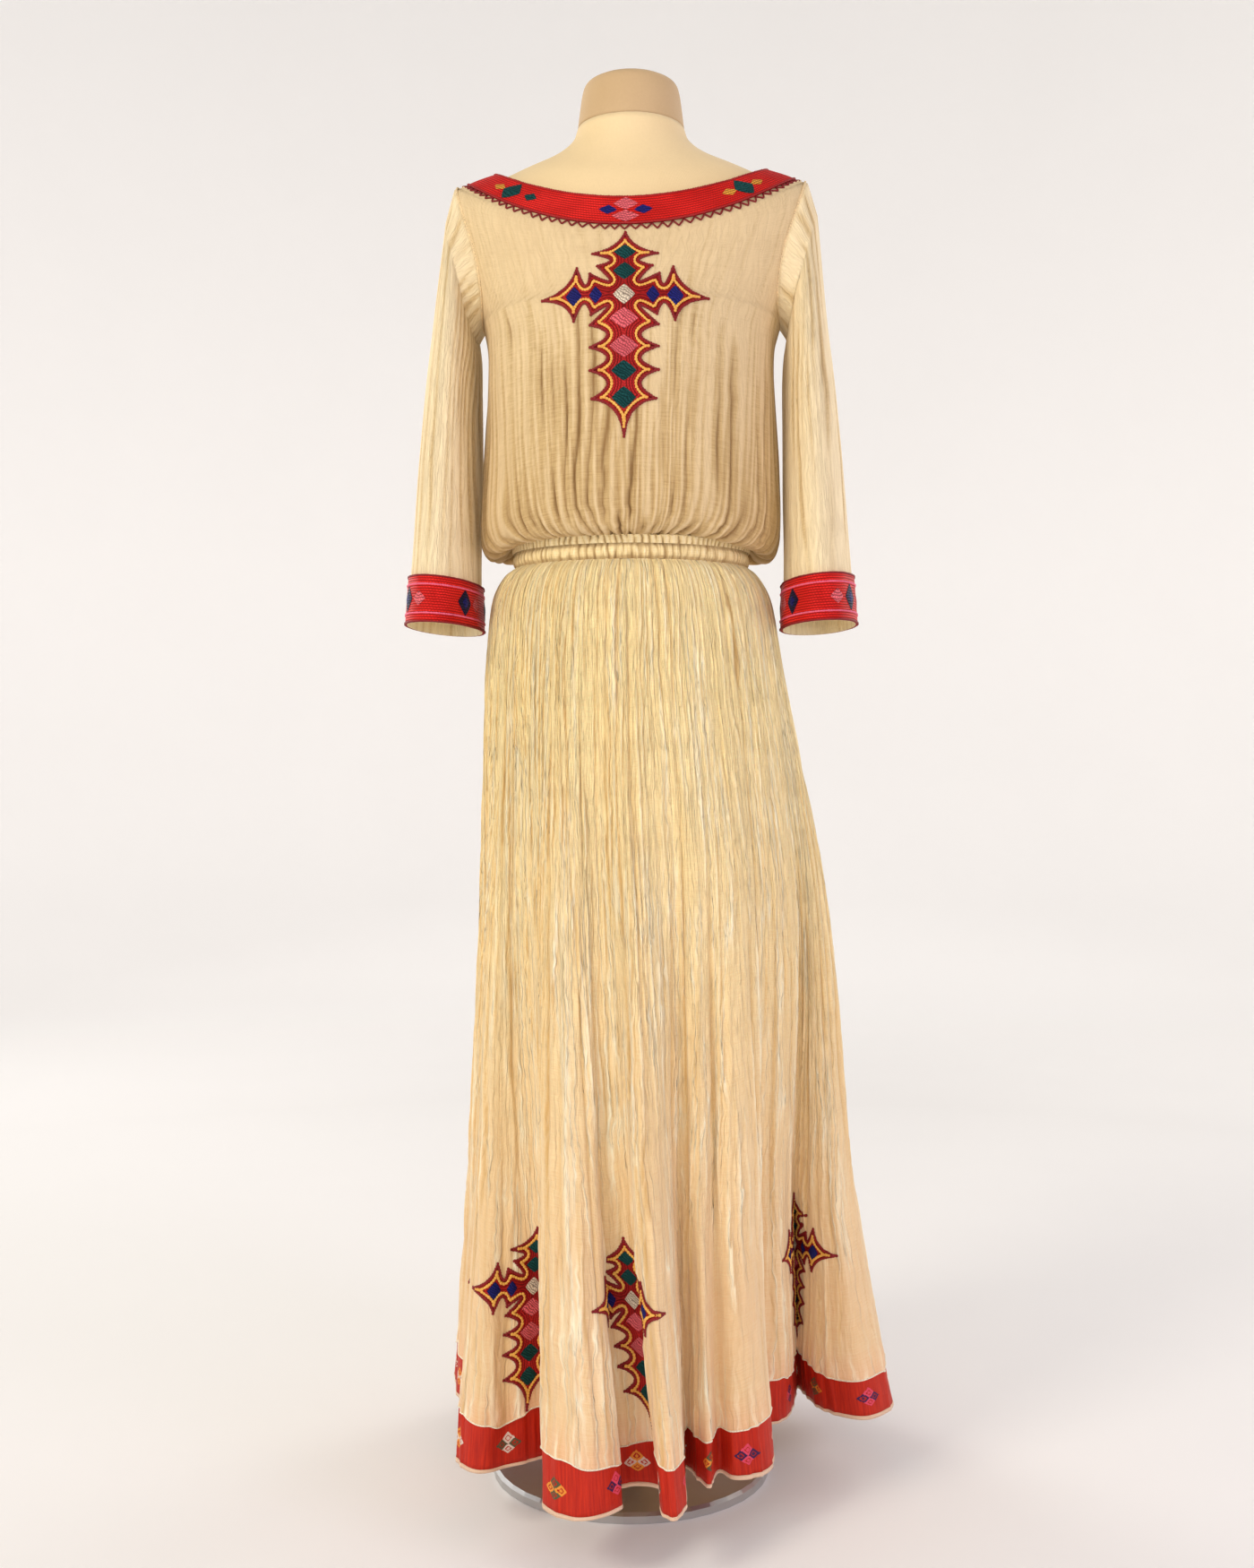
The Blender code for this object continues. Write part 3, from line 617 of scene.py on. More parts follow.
def build_weave_group():
    tree, given, out = new_group(
        "open_plain_weave", [("Vector", None), ("Pitch", GAUZE_PITCH), ("Uneven", 0.5)],
        ["Height", "Opening", "Slub"],
    )
    u, v = split(tree, given["Vector"])[:2]
    leans = [times(tree, minus(tree, noise(tree, given["Vector"], scale, 1), 0.5), given["Uneven"])
             for scale in (330.0, 270.0)]
    ridges = []
    for place, lean in zip((u, v), leans):
        number = plus(tree, divided(tree, place, given["Pitch"]), times(tree, lean, 2.0))
        ridges.append(wave(tree, number, math.pi))
    height = calc(tree, "MAXIMUM", *ridges)
    gap = times(tree, minus(tree, 1.0, ridges[0]), minus(tree, 1.0, ridges[1]))
    weft = noise(tree, stretched(tree, given["Vector"], (55, 900, 1)), 1.0, 2)
    warp = noise(tree, stretched(tree, given["Vector"], (800, 28, 1), (7, 3, 0)), 1.0, 2)
    slub = plus(tree, times(tree, weft, 0.68), times(tree, warp, 0.32))
    feed(tree, out["Height"], plus(tree, height, times(tree, slub, 0.9)))
    feed(tree, out["Opening"], gap)
    feed(tree, out["Slub"], slub)
    return tree


def build_crinkle_group():
    tree, given, out = new_group("fine_crinkle", [("Vector", None), ("Across", 140.0), ("Along", 22.0)],
                                 ["Height", "Line"])
    u, v = split(tree, given["Vector"])[:2]
    placed = shader_node(tree, "ShaderNodeCombineXYZ")
    sway = plus(tree, times(tree, noise(tree, given["Vector"], 9.0, 1), 0.022),
                times(tree, noise(tree, given["Vector"], 60.0, 1), 0.009))
    feed(tree, placed.inputs[0], times(tree, plus(tree, u, sway), given["Across"]))
    feed(tree, placed.inputs[1], times(tree, v, given["Along"]))
    coarse = noise(tree, placed.outputs[0], 1.0, 2, 0.5)
    flat = times(tree, calc(tree, "ABSOLUTE", minus(tree, coarse, 0.5)), 6.5, clamp=True)
    flat = calc(tree, "POWER", flat, 0.65)
    feed(tree, out["Height"], plus(tree, flat, coarse))
    feed(tree, out["Line"], minus(tree, 1.0, flat))
    return tree


WEAVE = build_weave_group()
CRINKLE = build_crinkle_group()
print("groups:", WEAVE.name, CRINKLE.name)


# %% The gauze itself
LAP_TINT = (1.0, 0.80, 0.80)    # the red band shows through the gauze that laps it


def gauze_material(name, light, dark, deep, painted_highlight, crinkle_mm=0.8, crinkle_line=0.17, lower=None,
                   veined=False, painted_glow=0.06):
    """Cream gauze. Light and dark are its thick and thin threads. Deep is painted shade for the bottom of a
    fold, and the next colour a painted highlight along a raised line. Lower is a tint of painted shade and the
    two heights it comes in between. The glow is painted light: an emission for light through the weave from
    behind."""
    made, tree, shader = new_material(name, 0.9, sheen=0.3 if veined else 0.12, specular=0.2,
                                      sheen_tint=(1.0, 0.95, 0.88))
    place = uv_of(tree)
    weave = use_group(tree, WEAVE, Vector=place, Uneven=0.8)
    crinkle = use_group(tree, CRINKLE, Vector=place, Across=190.0 if veined else 140.0)
    broad = noise(tree, stretched(tree, place, (13, 5, 1)), 1.0, 3)
    bars = noise(tree, stretched(tree, place, (10, 240, 1)), 1.0, 2)
    thread = blend_colours(tree, spread(tree, weave["Slub"], 0.36, 0.64), dark, light)
    thread = blend_colours(tree, times(tree, spread(tree, bars, 0.45, 0.72), 0.45), thread, light)
    thread = blend_colours(tree, times(tree, spread(tree, broad, 0.48, 0.72), 0.5), thread, dark)
    crinkle_shade_mask, fine_height = crinkle["Line"], crinkle["Height"]
    if lower:
        # Painted shade: darker from the start height to the end one, and on the skirt also pinker
        tint, start, end = lower
        low = spread(tree, split(tree, object_space(tree))[2], start, end)
        thread = blend_colours(tree, low, thread, blend_colours(tree, 1.0, thread, tint, "MULTIPLY"))
    if veined:
        lapped = times(tree, spread(tree, split(tree, place)[1], 0.035, 0.0), times(tree, low, 0.7))
        thread = blend_colours(tree, lapped, thread, LAP_TINT, "MULTIPLY")
        calm = minus(tree, 1.0, times(tree, low, 0.6))
        crinkle_shade_mask = times(tree, crinkle_shade_mask, calm)
        fine_height = times(tree, fine_height, calm)
        pleat = use_group(tree, CRINKLE, Vector=place, Across=50.0, Along=3.5)
        veins = calc(tree, "POWER", pleat["Line"], 4.0)
        veins = times(tree, veins, spread(tree, noise(tree, stretched(tree, place, (16, 4, 1)), 1.0, 1),
                                          0.42, 0.52))
        # Painted highlight: the raised veins are mixed towards the highlight colour.
        thread = blend_colours(tree, times(tree, veins, 0.9), thread, painted_highlight)
    # Painted highlight on high fold values, painted shade on low ones, on crinkle lines and in weave gaps.
    fold = shader_node(tree, "ShaderNodeAttribute", attribute_name="fold")
    thread = blend_colours(tree, times(tree, spread(tree, fold.outputs["Fac"], 0.80, 1.0), 0.9), thread,
                           painted_highlight)
    depth = minus(tree, 1.0, spread(tree, fold.outputs["Fac"], 0.05, 0.72))
    depth = plus(tree, times(tree, depth, 0.8), times(tree, crinkle_shade_mask, crinkle_line), clamp=True)
    depth = plus(tree, depth, times(tree, weave["Opening"], 0.45), clamp=True)
    into(shader, "Base Color", blend_colours(tree, depth, thread, deep))
    # Painted glow: the cloth's colour is also emitted, as light through the weave from behind.
    into(shader, "Emission Color", thread)
    shader.inputs["Emission Strength"].default_value = painted_glow
    soft = bump(tree, fine_height, crinkle_mm * MM)
    if veined:
        steps = times(tree, plus(tree, pleat["Height"], pleat["Line"]), 9.0)
        soft = bump(tree, plus(tree, steps, veins), 1.0 * MM, soft)
    into(shader, "Normal", bump(tree, weave["Height"], 0.2 * MM, soft))
    return made


# One cloth, four copies: the bodice's and sleeves' darker colours are painted shade, the others' painted light.
GAUZE = gauze_material("cream_gauze", (1.0, 0.84, 0.435), (0.94, 0.72, 0.345), (0.60, 0.355, 0.12),
                       (1.0, 0.95, 0.72), crinkle_line=0.26, lower=((0.82, 0.72, 0.82), 0.78, 0.22),
                       veined=True, painted_glow=0.10)
GAUZE_BODICE_SHADED = gauze_material("cream_gauze_bodice", (0.71, 0.54, 0.29), (0.55, 0.38, 0.18),
                              (0.24, 0.125, 0.04), (0.82, 0.64, 0.38), crinkle_mm=0.35, crinkle_line=0.12,
                              lower=((0.90, 0.85, 0.76), 1.14, 0.99))
GAUZE_SLEEVE_SHADED = gauze_material("cream_gauze_sleeve", (0.79, 0.61, 0.335), (0.64, 0.46, 0.23),
                              (0.34, 0.195, 0.075), (0.93, 0.78, 0.50), crinkle_mm=0.7, crinkle_line=0.15)
GAUZE_GATHERED = gauze_material("cream_gauze_gathered", (0.99, 0.82, 0.45), (0.87, 0.68, 0.34),
                                (0.36, 0.20, 0.065), (1.0, 0.90, 0.62), crinkle_mm=0.5, crinkle_line=0.15)
print("gauze:", GAUZE.name, GAUZE_BODICE_SHADED.name, GAUZE_SLEEVE_SHADED.name)

# %% [markdown]
# # The dress form
# Under the dress stands a limbless torso of hard foam, covered in fine cream jersey, cut flat at the hips
# over a wooden board. The same rings as the frame's solid are lofted here with many more steps, so that
# neck and shoulders read as smooth. The cover's vertical seam shows on the neck, and a ring seam parts neck
# from body.

# %% Jersey, wood and steel
def jersey_material(name, light, dark):
    made, tree, shader = new_material(name, 0.72, sheen=0.25, specular=0.25, sheen_tint=(1, 0.94, 0.82))
    place = object_space(tree)
    x, y, z = split(tree, place)[:3]
    turn = calc(tree, "ARCTAN2", x, times(tree, y, -1.0))
    rib = wave(tree, turn, 210.0)
    row = wave(tree, z, math.pi / 0.0009)
    knit = plus(tree, times(tree, rib, 0.7), times(tree, row, 0.3))
    mottle = noise(tree, place, 9.0, 4)
    fuzz = noise(tree, place, 420.0, 2)
    tone = blend_colours(tree, spread(tree, mottle, 0.3, 0.7), dark, light)
    tone = blend_colours(tree, times(tree, fuzz, 0.30), tone, toned(dark, 0.85))
    into(shader, "Base Color", tone)
    into(shader, "Normal", bump(tree, knit, 0.10 * MM, bump(tree, fuzz, 0.15 * MM)))
    return made


def wood_material():
    made, tree, shader = new_material("waxed_wood", 0.5, specular=0.4)
    place = object_space(tree)
    rings = noise(tree, stretched(tree, place, (9, 90, 90)), 1.0, 4, 0.6)
    pores = noise(tree, stretched(tree, place, (60, 900, 900)), 1.0, 2)
    tone = blend_colours(tree, spread(tree, rings, 0.3, 0.7), (0.27, 0.15, 0.07), (0.45, 0.29, 0.16))
    into(shader, "Base Color", blend_colours(tree, times(tree, spread(tree, pores, 0.55, 0.75), 0.5), tone,
                                             (0.14, 0.08, 0.04)))
    into(shader, "Roughness", plus(tree, 0.35, times(tree, rings, 0.25)))
    into(shader, "Normal", bump(tree, pores, 0.1 * MM))
    return made


def steel_material():
    made, tree, shader = new_material("brushed_steel", 0.32, metallic=1.0)
    place = object_space(tree)
    brushed = noise(tree, stretched(tree, place, (900, 900, 40)), 1.0, 2)
    clouds = noise(tree, place, 14.0, 4)
    into(shader, "Base Color", blend_colours(tree, clouds, (0.50, 0.50, 0.51), (0.64, 0.635, 0.62)))
    into(shader, "Roughness", plus(tree, 0.24, plus(tree, times(tree, brushed, 0.12),
                                                    times(tree, spread(tree, clouds, 0.5, 0.8), 0.15))))
    into(shader, "Normal", bump(tree, brushed, 0.03 * MM))
    return made


# The neck's jersey is the body's cloth; its darker colours are painted shade.
JERSEY = jersey_material("cream_jersey", (0.86, 0.67, 0.385), (0.795, 0.605, 0.33))
JERSEY_NECK_SHADED = jersey_material("cream_jersey_neck", (0.605, 0.425, 0.235), (0.55, 0.375, 0.195))
WOOD, STEEL = wood_material(), steel_material()
for node_name, finish in (("form_board", WOOD), ("stand_pole", STEEL), ("stand_flange", STEEL),
                          ("stand_base", STEEL)):
    node_object = bpy.data.objects[node_name]
    for slot_entry in node_object.material_slots:
        slot_entry.material = finish
print("finished CAD nodes with:", WOOD.name, STEEL.name)

# %% Torso and neck
FORM_STEPS_ROUND = 144
SEAM_ANGLE = math.radians(-14)      # the cover's seam, just off the front centre
SEAM_DEPTH = 0.7 * MM
SEAM_HALF_WIDTH = 0.0011
SEAM_REACH = 0.05                   # the neck's reach, which turns an angle into a distance


def form_rings():
    carried = [Ring(*[value - FIT_GAP for value in row])
               for row in smooth_between(BODICE_RINGS, CARRYING_ROWS)]
    return FORM_BODY_RINGS + carried + FORM_NECK_SLOPE_RINGS


def lofted(name, rows, steps, material, closed_top, seam):
    """A capped body of rings. Seam is how deep the cover's seam sinks at a height."""
    t, angle = grid_of(np.linspace(0, len(rows) - 1, steps),
                       np.linspace(0, 2 * math.pi, FORM_STEPS_ROUND, endpoint=False))
    grid = ring_points(rows, t, angle)
    across = np.angle(np.exp(1j * (angle - SEAM_ANGLE))) * SEAM_REACH
    grid[..., :2] *= (1 - seam(grid[..., 2]) * SEAM_DEPTH * np.exp(-(across / SEAM_HALF_WIDTH) ** 2)
                      / SEAM_REACH)[..., None]
    columns = FORM_STEPS_ROUND
    points = grid.reshape(-1, 3).tolist()
    faces = grid_faces(steps, columns, columns)[2]
    last = (steps - 1) * columns
    for start, turned in ((0, True), (last, False)):
        middle = grid[0 if turned else -1].mean(axis=0)
        if closed_top and not turned:
            middle[2] += closed_top
        points.append(middle.tolist())
        for c in range(columns):
            edge = (start + c, start + (c + 1) % columns)
            faces.append((*(edge[::-1] if turned else edge), len(points) - 1))
    mesh = new_mesh(name, points, [], faces)
    mesh.shade_smooth()
    mesh.materials.append(material)
    obj = add_object(name, mesh)
    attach(obj, "root")
    return obj


torso = lofted("torso_cover", form_rings(), 80, JERSEY, 0.0, lambda z: np.clip((z - 1.31) / 0.03, 0, 1))
finish_piece(torso, "form_jersey", "form_torso")
neck = lofted("neck_cover", FORM_NECK_RINGS, 26, JERSEY_NECK_SHADED, 0.0006,
              lambda z: np.clip((1.409 - z) / 0.004, 0, 1))
finish_piece(neck, "form_jersey", "form_neck")
print("form faces:", len(torso.data.polygons) + len(neck.data.polygons))

# %% [markdown]
# # Bodice and ruffle
# The bodice is one width of gauze for the front and one for the back. The waist elastic gathers it, so it
# pouches all round and its creases start deep at the waist, lean apart and fade over the bust. The cloth is
# evaluated as a height over the measured surface: broad creases, fine ones, and slow swells. The few
# millimetres that stand above the casing are gathered far more tightly, so they are a strip of their own.

# %% Bodice surface
BODICE_RIDGES = 29              # creases across the front or back at the waist
RUFFLE_RIDGES = 56
CLOTH = 0.7 * MM                # thickness of the gauze with its crinkle


def bodice_base(t, angle):
    return ring_points(BODICE_RINGS, t, angle)


def bodice_out(t, angle):
    return outward(bodice_base, t, angle, NECKLINE_ROW, 10.0)


def near_cross(x, y, scale=1.0):
    """1 where stitching stiffens the cloth, and 0 away from it, for a place in metres from a cross's centre."""
    x, y = np.abs(x) / MM / scale, y / MM / scale
    upright = np.clip((34 - x) / 10, 0, 1) * np.clip((74 - y) / 10, 0, 1) * np.clip((y + 144) / 10, 0, 1)
    arms = np.clip((88 - x) / 12, 0, 1) * np.clip((38 - np.abs(y)) / 10, 0, 1)
    return np.maximum(upright, arms)


CHEST_CROSS_Z = 1.160


def bodice_height(t, angle):
    """Height of the creases over the bodice's surface, and the fold value for painted shade, from 0, deep, to
    1.
    """
    seed = 11
    place = bodice_base(t, angle)
    calm = 1 - 0.8 * near_cross(place[..., 0], place[..., 2] - CHEST_CROSS_Z) * (np.cos(angle) > 0)
    # the creases lean in towards the waist
    drawn_in = np.interp(t, [0, 2, 6, 10], [0.62, 0.55, 0.2, 0.0])
    turns = (angle + 0.5 * drawn_in * np.sin(2 * angle)) / math.pi
    ridges = turns * BODICE_RIDGES + 0.5 * ripple(seed + 5, turns * 4, t * 0.35) * np.clip((t - 2) / 6, 0, 1)
    strong = np.interp(t, [0, 1, 2, 3, 4, 5, 6, 7, 8, 10, 12],
                       [1.7, 3.9, 5.4, 5.2, 4.6, 3.9, 3.2, 2.5, 1.8, 0.5, 0.1])
    folds = creases(seed, ridges, t, sharp=0.5, depth=(0.15, 1.0), ends=(3.2, 9.4))
    small = creases(seed + 20, turns * BODICE_RIDGES * 2.1, t * 0.6, sharp=0.6, depth=(0.0, 1.0))
    fine = np.interp(t, [0, 2, 5, 8, 12], [0.5, 1.3, 0.9, 0.3, 0.1])
    seam = np.clip(np.abs(np.abs(np.angle(np.exp(2j * (angle - math.pi / 2)))) / 2) / 0.06, 0, 1)
    swell = 2.0 * ripple(seed + 30, turns * 8, t * 0.6) * np.interp(t, [0, 3, 9, 12], [0, 1, 1, 0])
    low_pouch = np.interp(t, [1.6, 2.4, 3.2, 4.2], [0, 1, 1, 0]) * ripple(seed + 40, turns * 13, 0) * 2.2
    height = (strong * (folds - 0.75) + fine * (small - 0.75) + swell + low_pouch) * MM * seam * calm
    # Painted shade: the fold value falls in the troughs of the creases.
    deep = 1.2 * np.clip(strong / 2.5, 0, 1) * (folds - 1) + np.clip(fine, 0, 1) * 0.5 * (small - 1) + 0.95
    return height, np.clip(deep, 0, 1)


def bodice_cloth(t, angle, lift=0.0):
    """The middle of the bodice's cloth, with its fold value. Lift moves a point further out."""
    height, deep = bodice_height(t, angle)
    n = bodice_out(t, angle)
    return bodice_base(t, angle) + n * (WALL / 2 + height + lift)[..., None], deep


def armhole_angle(t):
    middle, half = (ARMHOLE_LOW_ROW + ARMHOLE_HIGH_ROW) / 2, (ARMHOLE_HIGH_ROW - ARMHOLE_LOW_ROW) / 2
    cut = np.sqrt(np.clip(1 - ((t - middle) / half) ** 2, 0, 1))
    return np.radians(90 - (90 - ARMHOLE_FRONT_DEG) * cut)


pouch_heights = bodice_height(np.full(400, 3.0), np.linspace(0, 2 * math.pi, 400))[0] / MM
print("bodice height range, mm:", pouch_heights.min().round(2), pouch_heights.max().round(2))

# %% Bodice panels
BODICE_CUT_WIDTH = 0.54
BODICE_COLUMNS = {"front": 601, "back": 361}
BODICE_STOPS = np.concatenate([np.linspace(0.9, 4, 34), np.linspace(4, ARMHOLE_LOW_ROW, 22)[1:],
                               np.linspace(ARMHOLE_LOW_ROW, ARMHOLE_HIGH_ROW, 20)[1:],
                               np.linspace(ARMHOLE_HIGH_ROW, NECKLINE_ROW, 9)[1:]])
for half, (_, facing) in HALVES.items():
    t, share = grid_of(BODICE_STOPS, np.linspace(-1, 1, BODICE_COLUMNS[half]))
    angle = share * armhole_angle(t)
    grid, deep = bodice_cloth(t, angle + facing)
    flat = flat_map(grid)
    flat = np.stack([(angle / math.pi + 0.5) * BODICE_CUT_WIDTH, flat[..., 1]], axis=-1)
    piece = cloth_piece(f"gauze_bodice_{half}", grid, flat, None, GAUZE_BODICE_SHADED, deep)
    finish_piece(piece, "cotton_gauze", f"bodice_{half}")
    print(piece.name, "area", round(surface_area(grid), 4), "m2, faces", len(piece.data.polygons))


# %% Ruffle above the casing
RUFFLE_COLUMNS = {"front": 681, "back": 561}
GATHERED_WIDTH = 0.55           # of a half's ruffle or casing, laid flat


def ruffle_point(t, angle):
    turns = angle / math.pi
    folds = creases(61, turns * RUFFLE_RIDGES, t * 1.2, sharp=0.4, depth=(0.3, 1.0))
    height = (4.0 * (folds - 0.6) + 1.1 * ripple(71, turns * 24, t * 1.2)) * MM
    height *= np.interp(t, [0, 0.25, 0.7, 1.3], [0.4, 0.95, 1.1, 0.8])
    n = bodice_out(t, angle)
    point = bodice_base(t, angle) + n * (WALL / 2 + height)[..., None]
    point[..., 2] += 0.6 * MM * ripple(72, turns * 30, 0) * np.clip(t, 0, 1)
    # Painted shade: the fold value falls in the troughs of the gathers.
    return point, 0.9 * folds ** 2.4


for half, (_, facing) in HALVES.items():
    t, angle = grid_of(np.linspace(0.0, 1.25, 9), half_round(RUFFLE_COLUMNS[half], facing))
    grid, deep = ruffle_point(t, angle)
    piece = cloth_piece(f"gauze_ruffle_{half}", grid, flat_map(grid, GATHERED_WIDTH), None, GAUZE_GATHERED,
                        deep)
    finish_piece(piece, "cotton_gauze")

# %% [markdown]
# # Elastic casing
# A channel 14 mm high is stitched round the waist and holds flat elastic. The elastic draws the cloth into
# dozens of small upright puckers, shallow in the middle of the channel and sharp at its two stitch lines.
# It is one fine strip for each half, with the puckers as crease heights.

# %% Casing strips
CASING_PUCKERS = 44
CASING_FINE = 100
CASING_COLUMNS = {"front": 801, "back": 661}


def casing_point(level, angle):
    """Level runs from 0 at the lower stitch line to 1 at the upper one."""
    turns = angle / math.pi
    waist = BODICE_RINGS[0]
    reach = np.where(np.cos(angle) > 0, waist.front, waist.back) - CASING_INSET
    base = np.stack([(waist.half_width - CASING_INSET) * np.sin(angle), -reach * np.cos(angle),
                     CASING_LOW + (CASING_HIGH - CASING_LOW) * level], axis=-1)
    n = base * (1, 1, 0)
    n /= np.linalg.norm(n, axis=-1, keepdims=True)
    folds = creases(81, turns * CASING_PUCKERS, level * 1.2, sharp=0.55, depth=(0.3, 1.0))
    fine = creases(91, turns * CASING_FINE, level * 1.6, sharp=0.8, depth=(0.1, 1.0))
    round_shape = np.sin(math.pi * np.clip((level - 0.1) / 0.8, 0, 1)) ** 0.5
    height = (0.4 + 1.9 * round_shape + (2.3 - 0.8 * round_shape) * (folds - 0.7) + 1.0 * (fine - 0.6)) * MM
    point = base + n * height[..., None]
    point[..., 2] += 0.5 * MM * ripple(82, turns * 22, 0)
    # Painted shade: the fold value falls in the troughs of the puckers.
    return point, 0.95 * folds ** 2 * (0.5 + 0.5 * fine) * (0.3 + 0.7 * round_shape)


for half, (_, facing) in HALVES.items():
    level, angle = grid_of(np.linspace(-0.06, 1.06, 9), half_round(CASING_COLUMNS[half], facing))
    grid, deep = casing_point(level, angle)
    piece = cloth_piece(f"gauze_casing_{half}", grid, flat_map(grid, GATHERED_WIDTH), None, GAUZE_GATHERED,
                        deep)
    finish_piece(piece, "cotton_gauze", f"waist_casing_{half}")
print("casing height, mm:", round((CASING_HIGH - CASING_LOW) / MM, 1))

# %% [markdown]
# # Wide sleeves
# The sleeves are straight tubes of the same gauze, set into the armhole and ending in embroidered cuffs
# below the waist. They hang straight down beside the body. Each is one closed grid of rings with long
# uneven creases that start at the shoulder, and the two are not mirror copies: their noise differs.

# %% Sleeve surface
SLEEVE_RIDGES = 30


def armhole_loop(turn, above=None):
    middle, half = (ARMHOLE_LOW_ROW + ARMHOLE_HIGH_ROW) / 2, (ARMHOLE_HIGH_ROW - ARMHOLE_LOW_ROW) / 2
    t = middle + half * np.sin(turn)
    angle = np.radians(90 - (90 - ARMHOLE_FRONT_DEG) * np.cos(turn))
    step = 1e-4
    point = ring_points(BODICE_RINGS, t, angle)
    out = np.cross(ring_points(BODICE_RINGS, t, angle + step) - point,
                   ring_points(BODICE_RINGS, t + step, angle) - point)
    out /= np.linalg.norm(out, axis=-1, keepdims=True)
    underarm = np.clip(-np.sin(turn), 0, 1)[..., None] ** 4
    return point + out * (WALL * (1 + underarm) + LAP_GAP if above is None else above)


def sleeve_base(rise, turn):
    """The +X sleeve. Rise runs from 0 at the cuff's edge to 7 at the armhole."""
    stop = SLEEVE_END - rise
    outer_x, outer_z, inner_x, inner_z, reach = np.moveaxis(smooth_between(SLEEVE_RINGS, stop - 1), -1, 0)
    s, c = np.sin(turn), np.cos(turn)
    ring = np.stack([
        (outer_x + inner_x) / 2 + (outer_x - inner_x) / 2 * s, -reach * c,
        (outer_z + inner_z) / 2 + (outer_z - inner_z) / 2 * s,
    ], axis=-1)
    head = armhole_loop(turn)
    share = np.clip(stop, 0, 1)[..., None]
    return head + (ring - head) * share


def sleeve_out(rise, turn):
    return outward(sleeve_base, rise, turn, SLEEVE_END, 3.0)


def sleeve_cloth(rise, turn, seed):
    turns = turn / (2 * math.pi)
    ridges = turns * SLEEVE_RIDGES + 1.3 * ripple(seed + 7, turns * 7, rise * 0.35)
    joined = np.clip(turns * 12, 0, 1) * np.clip((1 - turns) * 12, 0, 1)   # the creases die out at the seam
    strong = np.interp(rise, [0, 0.9, 1.5, 4, 6, 6.7, 7], [0.5, 0.6, 2.1, 2.4, 2.0, 1.0, 0.2]) * joined
    folds = creases(seed, ridges, rise * 0.7, sharp=0.6, depth=(0.0, 1.0))
    swell = 1.5 * ripple(seed + 9, turns * 7, rise * 0.5) * joined * np.interp(rise, [0, 0.9, 2, 6, 7],
                                                                               [0, 0.2, 1, 1, 0])
    n = sleeve_out(rise, turn)
    height = (strong * (folds - 0.6) + swell) * MM + WALL / 2
    # Painted shade: the fold value falls in the troughs of the creases.
    return sleeve_base(rise, turn) + n * height[...,
                                                None], np.clip(1 + np.clip(strong / 2, 0, 1) * (folds - 1),
                                                               0, 1)


def on_side(grid, side):
    """The grid as it is for the +X side, or mirrored with its columns turned so that it still faces out."""
    return grid if side == "left" else (grid * (-1, 1, 1))[:, ::-1]


SLEEVE_STOPS = np.concatenate([np.linspace(0.0, 6.0, 50), np.linspace(6.0, 7.0, 13)[1:]])
SLEEVES = {}
for side, seed in (("left", 101), ("right", 151)):
    rise, turn = grid_of(SLEEVE_STOPS, np.linspace(0, 2 * math.pi, 160, endpoint=False))
    grid, deep = sleeve_cloth(rise, turn, seed)
    grid[-1] = armhole_loop(turn[-1], 0.3 * WALL)       # its head turns in to the bodice's edge
    grid = on_side(grid, side)
    deep = deep if side == "left" else deep[:, ::-1]
    piece = cloth_piece(f"gauze_sleeve_{side}", grid, flat_map(closed_up(grid)), CLOTH, GAUZE_SLEEVE_SHADED, deep,
                        closed=True)
    finish_piece(piece, "cotton_gauze", f"sleeve_{side}")
    SLEEVES[side] = piece
    print(piece.name, "area", round(surface_area(closed_up(grid)), 4), "faces", len(piece.data.polygons))

# %% [markdown]
# # The long crinkled skirt
# Several widths of gauze are gathered into the casing. They hang smooth over the hips and then open into
# deep folds that run to the hem, covered all over with upright crinkles. The big folds are the frame's own:
# the hem's turns in plan, growing with the drop. Over them go two sets of crinkles, one that starts at the
# casing and a finer one that comes in as the skirt widens. The lower edge of the gauze laps the woven band
# and dips on the ridges, as hand-sewn cloth does.

# %% Skirt surface
SKIRT_RIDGES = {"front": 46, "back": 42}
SKIRT_LINES = {"front": 90, "back": 66}
LAP = 0.10                       # how far, in levels, the gauze laps the band


def hem_curve(turns, share):
    knots = np.array([(turn.x, turn.y) for turn in turns])
    fine = np.linspace(0, len(knots) - 1, 40 * len(knots))
    line = smooth_between(knots, fine)
    run = run_along(line)
    x, y = np.moveaxis(smooth_between(knots, np.interp(share * run[-1], run, fine)), -1, 0)
    c, s = math.cos(HEM_TURNED), math.sin(HEM_TURNED)
    return np.stack([x * c - y * s, x * s + y * c], axis=-1)


def skirt_level(t, angle):
    z, left, right, front, back = np.moveaxis(smooth_between(SKIRT_LEVELS, t), -1, 0)
    s, c = np.sin(angle), np.cos(angle)
    return np.stack([np.where(s > 0, right, left) * s, -np.where(c > 0, front, back) * c, z], axis=-1)


def skirt_base(half, rise, share):
    """The skirt's surface. Rise runs from 0 at the hem up to 12 at the casing."""
    turns, facing = HALVES[half]
    t = HEM_LEVEL - rise
    angle = facing + (share - 0.5) * math.pi
    smooth = skirt_level(t, angle)
    hem = skirt_level(np.full_like(t, HEM_LEVEL), angle)[..., :2]
    drop = np.clip((FOLDS_START_Z - smooth[..., 2]) / (FOLDS_START_Z - HEM_Z), 0, 1)
    smooth[..., :2] += (hem_curve(turns, share) - hem) * (drop ** FOLD_GROWTH)[..., None]
    return smooth


def skirt_out(half, rise, share):
    return outward(lambda a, b: skirt_base(half, a, b), rise, share, HEM_LEVEL, 0.5)


def skirt_z(rise):
    return smooth_between([(row.z,) for row in SKIRT_LEVELS], HEM_LEVEL - rise)[..., 0]


